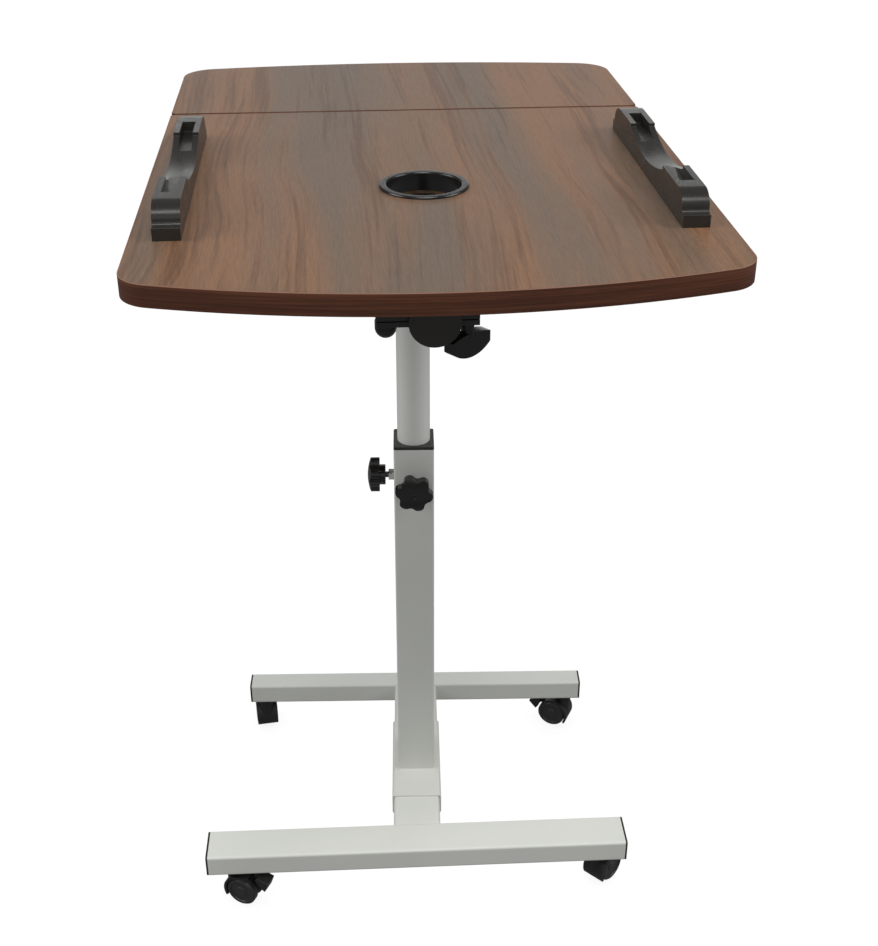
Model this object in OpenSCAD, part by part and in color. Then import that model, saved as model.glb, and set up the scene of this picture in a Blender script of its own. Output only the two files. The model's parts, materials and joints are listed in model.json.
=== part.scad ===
// Rolling laptop desk: a two-panel top on a swivelling, height-adjustable mast
// over a wheeled foot. Millimetres, +Z up, +Y away from the near end.
// The origin is on the floor below the middle of the top.

/* [Top panels] */
// Width of both panels, side to side
top_w = 400; // [360:5:480]
// Length over both panels and the gap between them
top_len = 600; // [560:5:700]
// Length of the fixed side shelf
shelf_len = 177; // [150:1:210]
// Gap between the two panels
panel_gap = 2; // [1.5:0.5:5]
// Thickness of both panels
board_t = 15; // [14:1:20]
// Thickness of the edge band round each panel
band_t = 1; // [0.6:0.1:2]
// Height of the top face above the floor
top_z = 729; // [710:1:800]
// How far the near end bows out
near_bow = 32; // [15:1:45]
// How far the far end bows out
far_bow = 17; // [10:1:40]
// Radius of the two near corners
near_corner_r = 26; // [20:1:60]
// Radius of the two far corners
far_corner_r = 30; // [20:1:60]
// Radius of the small corners at the gap
gap_corner_r = 5; // [2:0.5:12]
// Turn of the top on its mast, as it stands
top_turn = 3.26; // [-20:0.01:20]

/* [Grommet] */
// Radius of the cut-out in the main panel
grommet_hole_r = 30; // [25:0.5:32]
// Distance from the near end of the top to the grommet
grommet_from_near = 208; // [195:1:220]
// Width of the grommet's flange beyond the cut-out
grommet_flange = 2.7; // [2:0.1:6]
// Wall of the grommet's sleeve
grommet_wall = 2.8; // [1.5:0.1:4]
// Height of the flange above the panel
grommet_lip = 2; // [1:0.1:4]
// Depth of the sleeve below the top face
grommet_depth = 12; // [8:0.5:13]

/* [Laptop stops] */
// Length of each stop
stop_len = 260; // [220:2:290]
// Width of each stop
stop_w = 20; // [16:0.5:26]
// Distance from a side edge to the outer side of its stop
stop_inset = 15; // [8:0.5:25]
// Distance from the near end of the top to the stops
stop_from_near = 103; // [80:1:120]
// Height of the stop's two end blocks
stop_h = 24; // [20:0.5:30]
// Height of the foot at each end
stop_foot_h = 8.5; // [6:0.5:11]
// Length of the foot at each end
stop_foot_len = 13; // [9:0.5:18]
// Length of each end block with its foot
stop_block_len = 65; // [55:1:80]
// Height left at the bottom of the middle hollow
stop_hollow_h = 9; // [7:0.5:14]
// Wall beside the pocket in each end block
stop_pocket_wall = 3.2; // [2:0.1:5]
// Depth of the pocket in each end block
stop_pocket_depth = 6; // [3:0.5:9]
// Rounding of the upper edge at each end
stop_edge_r = 7; // [3:0.5:9]

/* [Tilt joint] */
// Height from the tilt axis up to the underside of the panels
axis_drop = 47; // [44:0.5:55]
// Outer radius of the tilt tube
tilt_tube_r = 12.5; // [10:0.25:14]
// Wall of the tilt tube
tilt_tube_wall = 1.5; // [1:0.1:3]
// Radius of the clamp and bracket rings round the tilt tube
clamp_r = 18.3; // [17:0.1:20]
// Distance from the near end of the top to the middle of the clamp
clamp_from_near = 120; // [100:1:150]
// Length of the clamp along the tilt tube
clamp_len = 30; // [20:1:34]
// Distance from the tilt axis to the clamp screw
clamp_screw_off = 24; // [24:0.5:28]
// Distance from the tilt axis to the domed nut
clamp_dome_off = 33; // [28:0.5:36]
// Half the slit between the two clamp halves
clamp_slit = 0.3; // [0.2:0.05:0.6]
// Thickness of each clamp ear
ear_t = 4; // [3:0.25:5]
// Radius of the clamp's screw and bolt
clamp_bolt_r = 3; // [2.5:0.25:3.5]
// Length of the clamp's half-moon handle
handle_len = 37; // [30:0.5:38]
// Thickness of the half-moon handle
handle_t = 9; // [7:0.5:12]
// Turn of the half-moon handle, as it stands
handle_turn = 40; // [-90:1:90]
// Length of each bracket along the tilt tube
bracket_len = 24; // [16:1:30]
// Distance from the shelf's near edge to its first bracket
shelf_bracket_near = 32; // [28:1:40]
// Distance from the shelf's far edge to its second bracket
shelf_bracket_far = 52; // [44:1:60]
// Width of each bracket's plate
bracket_plate_w = 76; // [64:1:100]
// Thickness of each bracket's plate
bracket_plate_t = 4; // [3:0.5:6]

/* [Mast] */
// Outer radius of the round mast
mast_r = 15; // [13:0.25:16]
// Wall of the mast
mast_wall = 1.5; // [1:0.1:3]
// Length of mast inside the post
mast_in = 290; // [200:5:300]
// Height of the socket on the mast's top, below the tilt axis
socket_drop = 66; // [55:1:75]
// Wall of the socket round the mast and the tilt tube
socket_wall = 6; // [4:0.5:8]
// Length of the socket's sleeve along the tilt tube
socket_sleeve_len = 84; // [60:1:100]
// Height of the square glide at the mast's foot
glide_h = 22; // [15:1:30]

/* [Post] */
// Width of the square post
post_w = 37; // [36:0.5:42]
// Wall of the square post
post_wall = 1.5; // [1:0.1:2]
// Height of the post's top above the floor
post_top_z = 441; // [400:1:480]
// Distance of the post behind the middle of the top
post_off = 60; // [40:1:80]
// Height of the collar's flange
collar_flange = 3; // [2:0.5:6]
// Length of the collar inside the post
collar_in = 52; // [46:1:70]
// Distance of both star knobs below the post's top
knob_drop = 35; // [31:1:40]

/* [Star knobs] */
// Radius over the knob's six lobes
knob_r = 17.5; // [15:0.5:19]
// Thickness of the lobes
knob_rim_t = 7.5; // [6:0.5:9]
// Rise of the domed face over the lobes
knob_dome = 3.5; // [2:0.5:5]
// Radius of the knob's neck
knob_neck_r = 9.5; // [7:0.5:11]
// Length of the knob's neck
knob_neck_len = 5.5; // [4:0.5:8]
// Radius of the threaded stud
stud_r = 3; // [2.5:0.25:4]
// Bare stud between the nut and the knob's neck
stud_gap = 3; // [2.5:0.5:6]
// Width of the fixed nut across its flats
nut_af = 10; // [8:0.5:13]
// Thickness of the fixed nut
nut_t = 5; // [4:0.5:7]

/* [Foot] */
// Length of the near foot bar with its end caps
near_bar_len = 409; // [380:1:460]
// Width of the near foot bar
near_bar_w = 37.5; // [30:0.5:45]
// Length of the far foot bar with its end caps
far_bar_len = 373; // [340:1:460]
// Width of the far foot bar
far_bar_w = 24; // [24:0.5:45]
// Height of both foot bars
bar_h = 23.5; // [20:0.5:30]
// Wall of the foot bars and the beam
bar_wall = 1.5; // [1:0.1:2]
// Corner radius of the bars, the beam and its sleeve
tube_corner_r = 2.8; // [2.2:0.1:5]
// Distance from the post to the middle of the near foot bar
near_bar_off = 117.5; // [105:0.5:160]
// Distance from the post to the middle of the far foot bar
far_bar_off = 134.5; // [100:0.5:180]
// Turn of the near foot bar on its joint, as it stands
near_bar_turn = 1.8; // [0:0.1:3]
// Thickness of the end caps outside the bars
cap_t = 2; // [1:0.25:4]
// Width of the sleeve that carries the post
sleeve_w = 49.5; // [46:0.5:56]
// Distance from the post to each end of the sleeve
sleeve_half = 59; // [45:1:70]

/* [Casters] */
// Height from the floor to the underside of the foot bars
caster_h = 42; // [41:0.5:48]
// Radius of the wheels
wheel_r = 15.5; // [14.5:0.25:16.5]
// Width of each wheel
wheel_w = 8; // [7:0.5:10]
// Distance from the stem to the wheel axle
caster_trail = 11.5; // [9:0.5:13]
// Thickness of the hood's middle web
web_t = 6.5; // [6.5:0.5:8]
// Thickness of the hood's cover
hood_t = 2.6; // [2:0.1:3]
// Distance from a near bar end to its caster stem
near_stem_in = 25; // [20:0.5:40]
// Distance from a far bar end to its caster stem
far_stem_in = 16; // [13:0.5:40]
// Swing of the near left caster, as it stands
near_left_swing = -24; // [-180:1:180]
// Swing of the near right caster, as it stands
near_right_swing = 47; // [-180:1:180]
// Swing of the far left caster, as it stands
far_left_swing = 100; // [-180:1:180]
// Swing of the far right caster, as it stands
far_right_swing = 155; // [-180:1:180]
// Travel of a brake lever in degrees
brake_travel = 26; // [10:1:28]

/* [Fits] */
// Radial clearance of a shaft that turns or slides
run_clear = 0.08; // [0.03:0.01:0.1]
// Clearance between moving faces that don't carry load
face_clear = 0.3; // [0.2:0.05:0.5]
// Clearance round a screw or bolt in its hole
screw_clear = 0.15; // [0.1:0.05:0.3]

/* [Hidden] */
$fn = 96;
hex_fn = 6;
over = 1;

half_w = top_w / 2;
near_y = -top_len / 2;
far_y = top_len / 2;
split_y = far_y - shelf_len - panel_gap;
board_z = top_z - board_t;
axis_z = board_z - axis_drop;
grommet_y = near_y + grommet_from_near;
grommet_r = grommet_hole_r - screw_clear;
grommet_bore_r = grommet_r - grommet_wall;

stop_y = near_y + stop_from_near + stop_len / 2;
stop_x = half_w - stop_inset - stop_w / 2;
stop_screw_y = stop_len / 2 - stop_block_len / 2;

clamp_y = near_y + clamp_from_near;
tube_near_y = clamp_y - clamp_len / 2 - face_clear;
tube_far_y = far_y - 26;
cap_flange = 4;
hinge_y = post_off - socket_sleeve_len / 2 - face_clear - bracket_len / 2;
shelf_bracket_ys = [far_y - shelf_len + shelf_bracket_near, far_y - shelf_bracket_far];
bracket_screw_x = bracket_plate_w / 2 - 8;

mast_top_z = axis_z - tilt_tube_r - 7;
mast_foot_z = post_top_z - mast_in;
post_x = -post_off * sin(top_turn);
post_y = post_off * cos(top_turn);

bar_top_z = caster_h + bar_h;
sleeve_in_w = sleeve_w - 2 * bar_wall;
beam_w = sleeve_in_w - 2 * screw_clear;
beam_h = bar_h - 2 * bar_wall - 2 * screw_clear;
beam_z = caster_h + bar_wall + screw_clear;
post_in = post_w - 2 * post_wall;
knob_z = post_top_z - knob_drop;
stem_thread_r = 4;
stem_journal_r = 2.4;
stem_nut_r = 7.5;
stem_nut_t = 6;
stem_collar_t = 1.6;
hood_top_z = caster_h - stem_collar_t - face_clear;
axle_r = 2;
hood_half = web_t / 2 + face_clear + wheel_w;
hub_face = wheel_w - 0.4;
hub_cap_t = 1.2;
near_stem_x = near_bar_len / 2 - near_stem_in;
far_stem_x = far_bar_len / 2 - far_stem_in;
wood_screw_r = 1.8;
wood_screw_len = 11;
wood_head_r = 3.6;
wood_head_t = 2.2;
cross_screw_r = 2;
cross_head_t = 2.4;
bar_bolt_r = 4;
bar_bolt_head_r = 7;
bar_bolt_head_t = 4.5;
end_block_len = 18;
stud_tip = mast_r + face_clear;
knob_face = post_w / 2 + nut_t + stud_gap;
lever_pin = wheel_r * [0.47, 0.82];
lever_pin_r = 1.3;
lever_arm_t = web_t - 3.5;
lever_arm_r = 2.8;

// Placing

module on_top() {
    rotate([0, 0, top_turn]) children();
}

module at_post() {
    translate([post_x, post_y, 0]) children();
}

module at_tilt_axis(y) {
    on_top() translate([0, y, axis_z]) children();
}

module on_near_bar() {
    at_post() translate([0, -near_bar_off, 0]) rotate([0, 0, near_bar_turn]) children();
}

module on_far_bar() {
    at_post() translate([0, far_bar_off, 0]) children();
}

// A profile drawn across the tilt axis, X to the side and Y up, made y_len long
module along_axis(y_len) {
    rotate([90, 0, 0]) translate([0, 0, -y_len / 2]) linear_extrude(y_len) children();
}

// Panels

// Points on an arc after its first one
function arc(centre, r, from, to, steps) = [for (i = [1:steps])
    let (a = from + (to - from) * i / steps) centre + r * [cos(a), sin(a)]];

// One panel's outline: straight at the gap, bowed and rounded at its outer end
module panel_outline(gap_y, end_y, bow, end_r, inset) {
    bow_r = (half_w * half_w + bow * bow) / (2 * bow);
    bow_centre = [0, end_y + bow_r];
    corner_x = half_w - end_r;
    corner = [corner_x, bow_centre[1] - sqrt(pow(bow_r - end_r, 2) - pow(corner_x, 2))];
    turn = atan2(corner[1] - bow_centre[1], corner[0]);
    gap_corner = [half_w - gap_corner_r, gap_y - gap_corner_r];
    right = concat([[0, end_y + inset]], arc(bow_centre, bow_r - inset, -90, turn, 24),
        arc(corner, end_r - inset, turn, 0, 14), arc(gap_corner, gap_corner_r - inset, 0, 90, 8));
    left = [for (i = [len(right) - 1:-1:1]) [-right[i][0], right[i][1]]];
    polygon(concat(right, left));
}

module main_outline(inset) {
    panel_outline(split_y, near_y, near_bow, near_corner_r, inset);
}

module shelf_outline(inset) {
    mirror([0, 1]) panel_outline(-split_y - panel_gap, -far_y, far_bow, far_corner_r, inset);
}

module bracket_holes(ys) {
    for (y = ys, x = [-1, 1]) translate([x * bracket_screw_x, y, board_z - over])
        cylinder(r = wood_screw_r + screw_clear, h = wood_screw_len + over);
}

module main_panel() {
    color("saddlebrown") on_top() difference() {
        translate([0, 0, board_z]) linear_extrude(board_t) main_outline(band_t);
        translate([0, grommet_y, board_z - over])
            cylinder(r = grommet_hole_r, h = board_t + 2 * over);
        bracket_holes([clamp_y, hinge_y]);
        for (side = [-1, 1], end = [-1, 1])
            translate([side * stop_x, stop_y + end * stop_screw_y, board_z - over])
                cylinder(r = wood_screw_r + screw_clear, h = board_t + 2 * over);
    }
}

module main_panel_band() {
    color("#4a2c22") on_top() translate([0, 0, board_z]) linear_extrude(board_t)
        difference() {
            main_outline(0);
            main_outline(band_t);
        }
}

module side_shelf() {
    color("saddlebrown") on_top() difference() {
        translate([0, 0, board_z]) linear_extrude(board_t) shelf_outline(band_t);
        bracket_holes(shelf_bracket_ys);
    }
}

module side_shelf_band() {
    color("#4a2c22") on_top() translate([0, 0, board_z]) linear_extrude(board_t)
        difference() {
            shelf_outline(0);
            shelf_outline(band_t);
        }
}

module grommet() {
    color("#282624") on_top() translate([0, grommet_y, top_z]) rotate_extrude()
        polygon([[grommet_bore_r, -grommet_depth], [grommet_r, -grommet_depth],
            [grommet_r, 0], [grommet_hole_r + grommet_flange, 0],
            [grommet_hole_r + grommet_flange, grommet_lip * 0.5],
            [grommet_hole_r + grommet_flange - 0.8, grommet_lip],
            [grommet_bore_r + 0.8, grommet_lip], [grommet_bore_r, grommet_lip * 0.5]]);
}

// Laptop stops

// Side view of a stop: foot, rise, flat block, hollow, and the same again
module stop_profile() {
    half = stop_len / 2;
    front = half - stop_foot_len;
    chord = half - stop_block_len;
    step = stop_pocket_depth / 2;
    sag = stop_h - step - stop_hollow_h;
    hollow_r = (chord * chord + sag * sag) / (2 * sag);
    fillet_r = stop_foot_h / 2;
    difference() {
        union() {
            translate([-half, 0]) square([stop_len, stop_foot_h]);
            translate([-front, 0]) square([2 * front, stop_h - stop_edge_r]);
            translate([-front + stop_edge_r, 0]) square([2 * (front - stop_edge_r), stop_h]);
            for (side = [-1, 1]) translate([side * (front - stop_edge_r), stop_h - stop_edge_r])
                circle(stop_edge_r);
            for (side = [-1, 1]) scale([side, 1]) translate([front, stop_foot_h]) difference() {
                square(fillet_r);
                translate([fillet_r, fillet_r]) circle(fillet_r);
            }
        }
        translate([0, stop_hollow_h + hollow_r]) circle(hollow_r, $fn = 360);
        translate([-chord, stop_h - step]) square([2 * chord, stop_h]);
    }
}

module laptop_stop(side) {
    pocket_w = stop_w - 2 * stop_pocket_wall;
    pocket_len = stop_block_len - stop_foot_len - 1.1 * stop_edge_r;
    color("#282624") on_top() translate([side * stop_x, stop_y, top_z]) difference() {
        rotate([90, 0, 90]) translate([0, 0, -stop_w / 2]) linear_extrude(stop_w)
            stop_profile();
        for (end = [-1, 1]) scale([1, end, 1]) {
            translate([-pocket_w / 2, stop_len / 2 - stop_block_len - over,
                stop_h - stop_pocket_depth])
                cube([pocket_w, pocket_len + over, stop_pocket_depth + over]);
            translate([0, stop_screw_y, -over])
                cylinder(r = wood_screw_r + screw_clear, h = wood_screw_len + over);
        }
    }
}

module left_stop() { laptop_stop(-1); }
module right_stop() { laptop_stop(1); }

module wood_screw(shank) {
    cylinder(r = wood_screw_r, h = shank);
    translate([0, 0, -wood_head_t]) cylinder(r = wood_head_r, h = wood_head_t);
}

module stop_screws() {
    color("silver") on_top() for (side = [-1, 1], end = [-1, 1])
        translate([side * stop_x, stop_y + end * stop_screw_y, board_z])
            wood_screw(board_t + wood_screw_len - over);
}

module bracket_screws(ys) {
    color("silver") on_top() for (y = ys, x = [-1, 1])
        translate([x * bracket_screw_x, y, board_z - bracket_plate_t])
            wood_screw(wood_screw_len + bracket_plate_t - over);
}

module shelf_bracket_screws() {
    bracket_screws(shelf_bracket_ys);
    color("silver") for (y = shelf_bracket_ys) at_tilt_axis(y) translate([0, 0, -clamp_r])
        cross_screw(clamp_r - tilt_tube_r + tilt_tube_wall + 2);
}

module panel_bracket_screws() { bracket_screws([clamp_y, hinge_y]); }

// Tilt joint

// Across the axis: a plate under the panel, a tapered web and a ring round the tube
module bracket_profile() {
    difference() {
        union() {
            translate([-bracket_plate_w / 2, axis_drop - bracket_plate_t])
                square([bracket_plate_w, bracket_plate_t]);
            polygon([[-0.76 * clamp_r, 0], [0.76 * clamp_r, 0],
                [clamp_r + 4, axis_drop - bracket_plate_t],
                [-clamp_r - 4, axis_drop - bracket_plate_t]]);
            circle(clamp_r);
        }
        circle(tilt_tube_r + run_clear);
    }
}

module ear_outline() {
    translate([-clamp_dome_off - 7, 0])
        square([clamp_dome_off + clamp_screw_off + 14, ear_t]);
}

module plate_holes() {
    for (x = [-1, 1]) translate([x * bracket_screw_x, 0, axis_drop - bracket_plate_t - over])
        cylinder(r = wood_screw_r + screw_clear, h = bracket_plate_t + 2 * over);
}

module clamp_ear_holes() {
    for (x = [-clamp_dome_off, clamp_screw_off]) translate([x, 0, -axis_drop / 2])
        cylinder(r = clamp_bolt_r + screw_clear, h = axis_drop);
}

// The web is cored from both sides, so that its walls are even
module web_cores(y_len) {
    core_h = axis_drop - clamp_r - bracket_plate_t - 6;
    for (side = [-1, 1]) translate([-clamp_r + 4, side * (y_len / 2 + over) - y_len / 3,
        clamp_r + 2]) cube([2 * clamp_r - 8, 2 * y_len / 3, core_h]);
}

module tilt_bracket(y, y_len) {
    at_tilt_axis(y) difference() {
        along_axis(y_len) bracket_profile();
        plate_holes();
        web_cores(y_len);
    }
}

// Up through the ring and the tube's lower wall
module ring_screw_hole() {
    translate([0, 0, -clamp_r - over]) cylinder(r = cross_screw_r + screw_clear, h = clamp_r);
}

module shelf_brackets() {
    color("#e6e8e6") difference() {
        for (y = shelf_bracket_ys) tilt_bracket(y, bracket_len);
        for (y = shelf_bracket_ys) at_tilt_axis(y) ring_screw_hole();
    }
}

module tilt_hinge() {
    color("#282624") tilt_bracket(hinge_y, bracket_len);
}

module clamp_upper() {
    color("#282624") at_tilt_axis(clamp_y) difference() {
        along_axis(clamp_len) difference() {
            union() {
                bracket_profile();
                difference() {
                    translate([0, clamp_slit]) ear_outline();
                    circle(tilt_tube_r + run_clear);
                }
            }
            translate([-top_w / 2, clamp_slit - top_w]) square(top_w);
        }
        plate_holes();
        web_cores(clamp_len);
        clamp_ear_holes();
    }
}

module clamp_lower() {
    color("#282624") at_tilt_axis(clamp_y) difference() {
        along_axis(clamp_len) difference() {
            union() {
                circle(clamp_r);
                translate([0, -clamp_slit - ear_t]) ear_outline();
            }
            circle(tilt_tube_r + run_clear);
            translate([-top_w / 2, -clamp_slit]) square(top_w);
        }
        clamp_ear_holes();
    }
}

// Bolt through the left ears, with a domed nut below
module clamp_bolt() {
    grip = clamp_slit + ear_t;
    dome_r = 7.6;
    color("#1c1b1a") at_tilt_axis(clamp_y) translate([-clamp_dome_off, 0, 0]) {
        translate([0, 0, -grip - 4]) cylinder(r = clamp_bolt_r, h = 2 * grip + 4);
        translate([0, 0, grip]) cylinder(r = 5.5, h = 4, $fn = hex_fn);
        translate([0, 0, -grip - 5.5]) cylinder(r = dome_r, h = 5.5);
        translate([0, 0, -grip - 5.5]) intersection() {
            sphere(dome_r);
            translate([0, 0, -dome_r]) cylinder(r = dome_r + over, h = dome_r);
        }
    }
}

module clamp_screw_nut() {
    color("silver") at_tilt_axis(clamp_y)
        translate([clamp_screw_off, 0, clamp_slit + ear_t]) difference() {
            cylinder(r = 5.5, h = 5, $fn = hex_fn);
            translate([0, 0, -over]) cylinder(r = clamp_bolt_r + run_clear, h = 5 + 2 * over);
        }
}

handle_top = -15;

module clamp_screw() {
    color("silver") at_tilt_axis(clamp_y) translate([clamp_screw_off, 0, handle_top + 1.5])
        cylinder(r = clamp_bolt_r, h = -handle_top + clamp_slit + ear_t + 6);
}

// Side view of the handle: a flat lens, fuller below than above
module half_moon() {
    half = handle_len / 2;
    top_sag = 3;
    low_sag = 7;
    end_h = 8;
    top_arc = (half * half + top_sag * top_sag) / (2 * top_sag);
    low_arc = (half * half + low_sag * low_sag) / (2 * low_sag);
    intersection() {
        translate([-half, -top_sag - end_h - low_sag])
            square([handle_len, top_sag + end_h + low_sag]);
        translate([0, -top_arc]) circle(top_arc, $fn = 360);
        translate([0, low_arc - top_sag - end_h - low_sag]) circle(low_arc, $fn = 360);
    }
}

module clamp_handle() {
    neck_r = clamp_bolt_r + 1.7;
    neck_h = -handle_top - clamp_slit - ear_t - face_clear;
    color("#1c1b1a") at_tilt_axis(clamp_y)
        translate([clamp_screw_off, 0, handle_top]) difference() {
            union() {
                rotate([0, 0, handle_turn]) along_axis(handle_t) half_moon();
                translate([0, 0, -2]) cylinder(r = neck_r, h = neck_h + 2);
            }
            translate([0, 0, 1.5 - run_clear])
                cylinder(r = clamp_bolt_r + run_clear, h = neck_h + over);
        }
}

module tilt_tube() {
    tube_len = tube_far_y - tube_near_y;
    color("#e6e8e6") at_tilt_axis((tube_near_y + tube_far_y) / 2) difference() {
        along_axis(tube_len) difference() {
            circle(tilt_tube_r);
            circle(tilt_tube_r - tilt_tube_wall);
        }
        translate([0, post_off - (tube_near_y + tube_far_y) / 2, 0]) socket_screw_holes();
        for (y = shelf_bracket_ys) translate([0, y - (tube_near_y + tube_far_y) / 2, 0])
            ring_screw_hole();
    }
}

module tube_cap(flange_r) {
    plug_len = 14;
    rotate([90, 0, 0]) {
        cylinder(r = flange_r, h = cap_flange);
        translate([0, 0, -plug_len])
            cylinder(r = tilt_tube_r - tilt_tube_wall - screw_clear / 3, h = plug_len);
    }
}

module tilt_tube_caps() {
    color("#282624") {
        at_tilt_axis(tube_near_y) tube_cap(clamp_r);
        at_tilt_axis(tube_far_y) rotate([0, 0, 180]) tube_cap(tilt_tube_r);
    }
}

// Socket that joins the mast to the tilt tube

socket_r = mast_r + socket_wall;
sleeve_r = tilt_tube_r + socket_wall + 1;

module socket_screw_holes() {
    for (y = [-1, 1]) translate([-sleeve_r - over, y * socket_sleeve_len / 3, 0])
        rotate([0, 90, 0]) cylinder(r = cross_screw_r + screw_clear, h = sleeve_r + over);
}

module mast_screw_holes(z) {
    translate([-socket_r - over, 0, z]) rotate([0, 90, 0])
        cylinder(r = cross_screw_r + screw_clear, h = 2 * (socket_r + over));
}

mast_screw_z = axis_z - socket_drop + 18;

module mast_socket() {
    color("#282624") at_post() rotate([0, 0, top_turn]) difference() {
        union() {
            translate([0, 0, axis_z - socket_drop]) cylinder(r = socket_r, h = socket_drop);
            translate([0, 0, axis_z]) along_axis(socket_sleeve_len) circle(sleeve_r);
            for (turn = [0, 180]) rotate([0, 0, turn]) rotate([90, 0, 90])
                translate([0, 0, -3]) linear_extrude(6)
                    polygon([[0, axis_z - socket_drop + 8], [socket_r, axis_z - socket_drop + 8],
                        [socket_sleeve_len / 2, axis_z - sleeve_r + 4],
                        [socket_sleeve_len / 2, axis_z], [0, axis_z]]);
        }
        translate([0, 0, axis_z - socket_drop - over])
            cylinder(r = mast_r + screw_clear / 3, h = mast_top_z - axis_z + socket_drop + over);
        translate([0, 0, axis_z]) along_axis(socket_sleeve_len + 2 * over)
            circle(tilt_tube_r + screw_clear / 3);
        translate([0, 0, axis_z]) socket_screw_holes();
        mast_screw_holes(mast_screw_z);
    }
}

module cross_screw(reach) {
    cylinder(r = cross_screw_r, h = reach);
    translate([0, 0, -cross_head_t]) cylinder(r = 1.9 * cross_screw_r, h = cross_head_t);
}

module socket_screws() {
    color("silver") at_post() rotate([0, 0, top_turn]) {
        for (y = [-1, 1]) translate([-sleeve_r, y * socket_sleeve_len / 3, axis_z])
            rotate([0, 90, 0]) cross_screw(sleeve_r - tilt_tube_r + tilt_tube_wall + 2);
        for (turn = [0, 180]) rotate([0, 0, turn]) translate([-socket_r, 0, mast_screw_z])
            rotate([0, 90, 0]) cross_screw(socket_wall + mast_wall + 2);
    }
}

// Mast

module mast_tube() {
    bead_h = 2.5;
    color("#e6e8e6") at_post() rotate([0, 0, top_turn]) difference() {
        union() {
            translate([0, 0, mast_foot_z]) cylinder(r = mast_r, h = mast_top_z - mast_foot_z);
            translate([0, 0, mast_foot_z + glide_h + face_clear])
                cylinder(r = mast_r + 1.2, h = bead_h);
        }
        translate([0, 0, mast_foot_z - over])
            cylinder(r = mast_r - mast_wall, h = mast_top_z - mast_foot_z + 2 * over);
        mast_screw_holes(mast_screw_z);
    }
}

module mast_plug() {
    color("#282624") at_post() translate([0, 0, mast_foot_z]) {
        translate([0, 0, -3]) cylinder(r = mast_r + 1.2, h = 3);
        cylinder(r = mast_r - mast_wall - screw_clear / 3, h = 20);
    }
}

module rounded_rect(w, h, r) {
    square([w, h - 2 * r], center = true);
    square([w - 2 * r, h], center = true);
    for (x = [-1, 1], y = [-1, 1]) translate([x * (w / 2 - r), y * (h / 2 - r)]) circle(r);
}

module rounded_square(w, r) {
    rounded_rect(w, w, r);
}

// Cross-section of a rectangular tube
module tube_section(w, h) {
    difference() {
        rounded_rect(w, h, tube_corner_r);
        rounded_rect(w - 2 * bar_wall, h - 2 * bar_wall, tube_corner_r - bar_wall);
    }
}

module mast_glide() {
    color("#282624") at_post() translate([0, 0, mast_foot_z + face_clear / 2])
        linear_extrude(glide_h) difference() {
            rounded_square(post_in - 2 * face_clear, 2);
            circle(mast_r + run_clear);
        }
}

// Post and collar

module stud_holes(r) {
    translate([0, 0, knob_z]) {
        rotate([90, 0, 0]) cylinder(r = r, h = post_w);
        rotate([0, -90, 0]) cylinder(r = r, h = post_w);
    }
}

module square_post() {
    color("#e6e8e6") at_post() difference() {
        translate([0, 0, bar_top_z]) linear_extrude(post_top_z - bar_top_z) difference() {
            rounded_square(post_w, 1.8);
            rounded_square(post_in, 0.6);
        }
        stud_holes(stud_r + screw_clear);
    }
}

module post_collar() {
    color("#282624") at_post() difference() {
        union() {
            translate([0, 0, post_top_z]) linear_extrude(collar_flange)
                rounded_square(post_w, 1.8);
            translate([0, 0, post_top_z - collar_in]) linear_extrude(collar_in)
                rounded_square(post_in - screw_clear, 0.6);
        }
        translate([0, 0, post_top_z - collar_in - over])
            cylinder(r = mast_r + run_clear, h = collar_in + collar_flange + 2 * over);
        stud_holes(stud_r + screw_clear);
    }
}

module fixed_nut() {
    translate([0, 0, post_w / 2]) difference() {
        cylinder(r = nut_af / 2 / cos(30), h = nut_t, $fn = hex_fn);
        translate([0, 0, -over]) cylinder(r = stud_r + run_clear, h = nut_t + 2 * over);
    }
}

module facing_front() {
    at_post() translate([0, 0, knob_z]) rotate([90, 0, 0]) children();
}

module facing_side() {
    at_post() translate([0, 0, knob_z]) rotate([0, -90, 0]) children();
}

module fixed_nuts() {
    color("silver") {
        facing_front() fixed_nut();
        facing_side() fixed_nut();
    }
}

module clamp_stud() {
    translate([0, 0, stud_tip]) cylinder(r = stud_r, h = knob_face + 9 - stud_tip);
}

// Six lobes and six hollows round a hub, cut by a domed face
module star_knob() {
    lobe_r = knob_r * 0.3;
    hollow_r = knob_r * 0.24;
    rim_z = knob_neck_len;
    face_r = (knob_r * knob_r + knob_dome * knob_dome) / (2 * knob_dome);
    translate([0, 0, knob_face]) difference() {
        union() {
            cylinder(r = knob_neck_r, h = knob_neck_len + over);
            intersection() {
                translate([0, 0, rim_z]) linear_extrude(knob_rim_t + knob_dome) difference() {
                    union() {
                        circle(knob_r * 0.84);
                        for (turn = [0:60:300]) rotate(turn) translate([knob_r - lobe_r, 0])
                            circle(lobe_r);
                    }
                    for (turn = [30:60:330]) rotate(turn) translate([knob_r * 1.02, 0])
                        circle(hollow_r);
                }
                translate([0, 0, rim_z + knob_rim_t + knob_dome - face_r]) sphere(face_r, $fn = 360);
            }
        }
        translate([0, 0, -over]) cylinder(r = stud_r + run_clear, h = 10 + run_clear);
        translate([0, 0, rim_z + knob_rim_t + knob_dome + 4]) sphere(5);
    }
}

module front_stud() { color("silver") facing_front() clamp_stud(); }
module side_stud() { color("silver") facing_side() clamp_stud(); }
module front_knob() { color("#1c1b1a") facing_front() rotate([0, 0, -11]) star_knob(); }
module side_knob() { color("#1c1b1a") facing_side() star_knob(); }

// Foot

module bar_tube(len, w) {
    bar_len = len - 2 * cap_t;
    translate([-bar_len / 2, 0, caster_h + bar_h / 2]) rotate([90, 0, 90])
        linear_extrude(bar_len) tube_section(w, bar_h);
}

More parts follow.
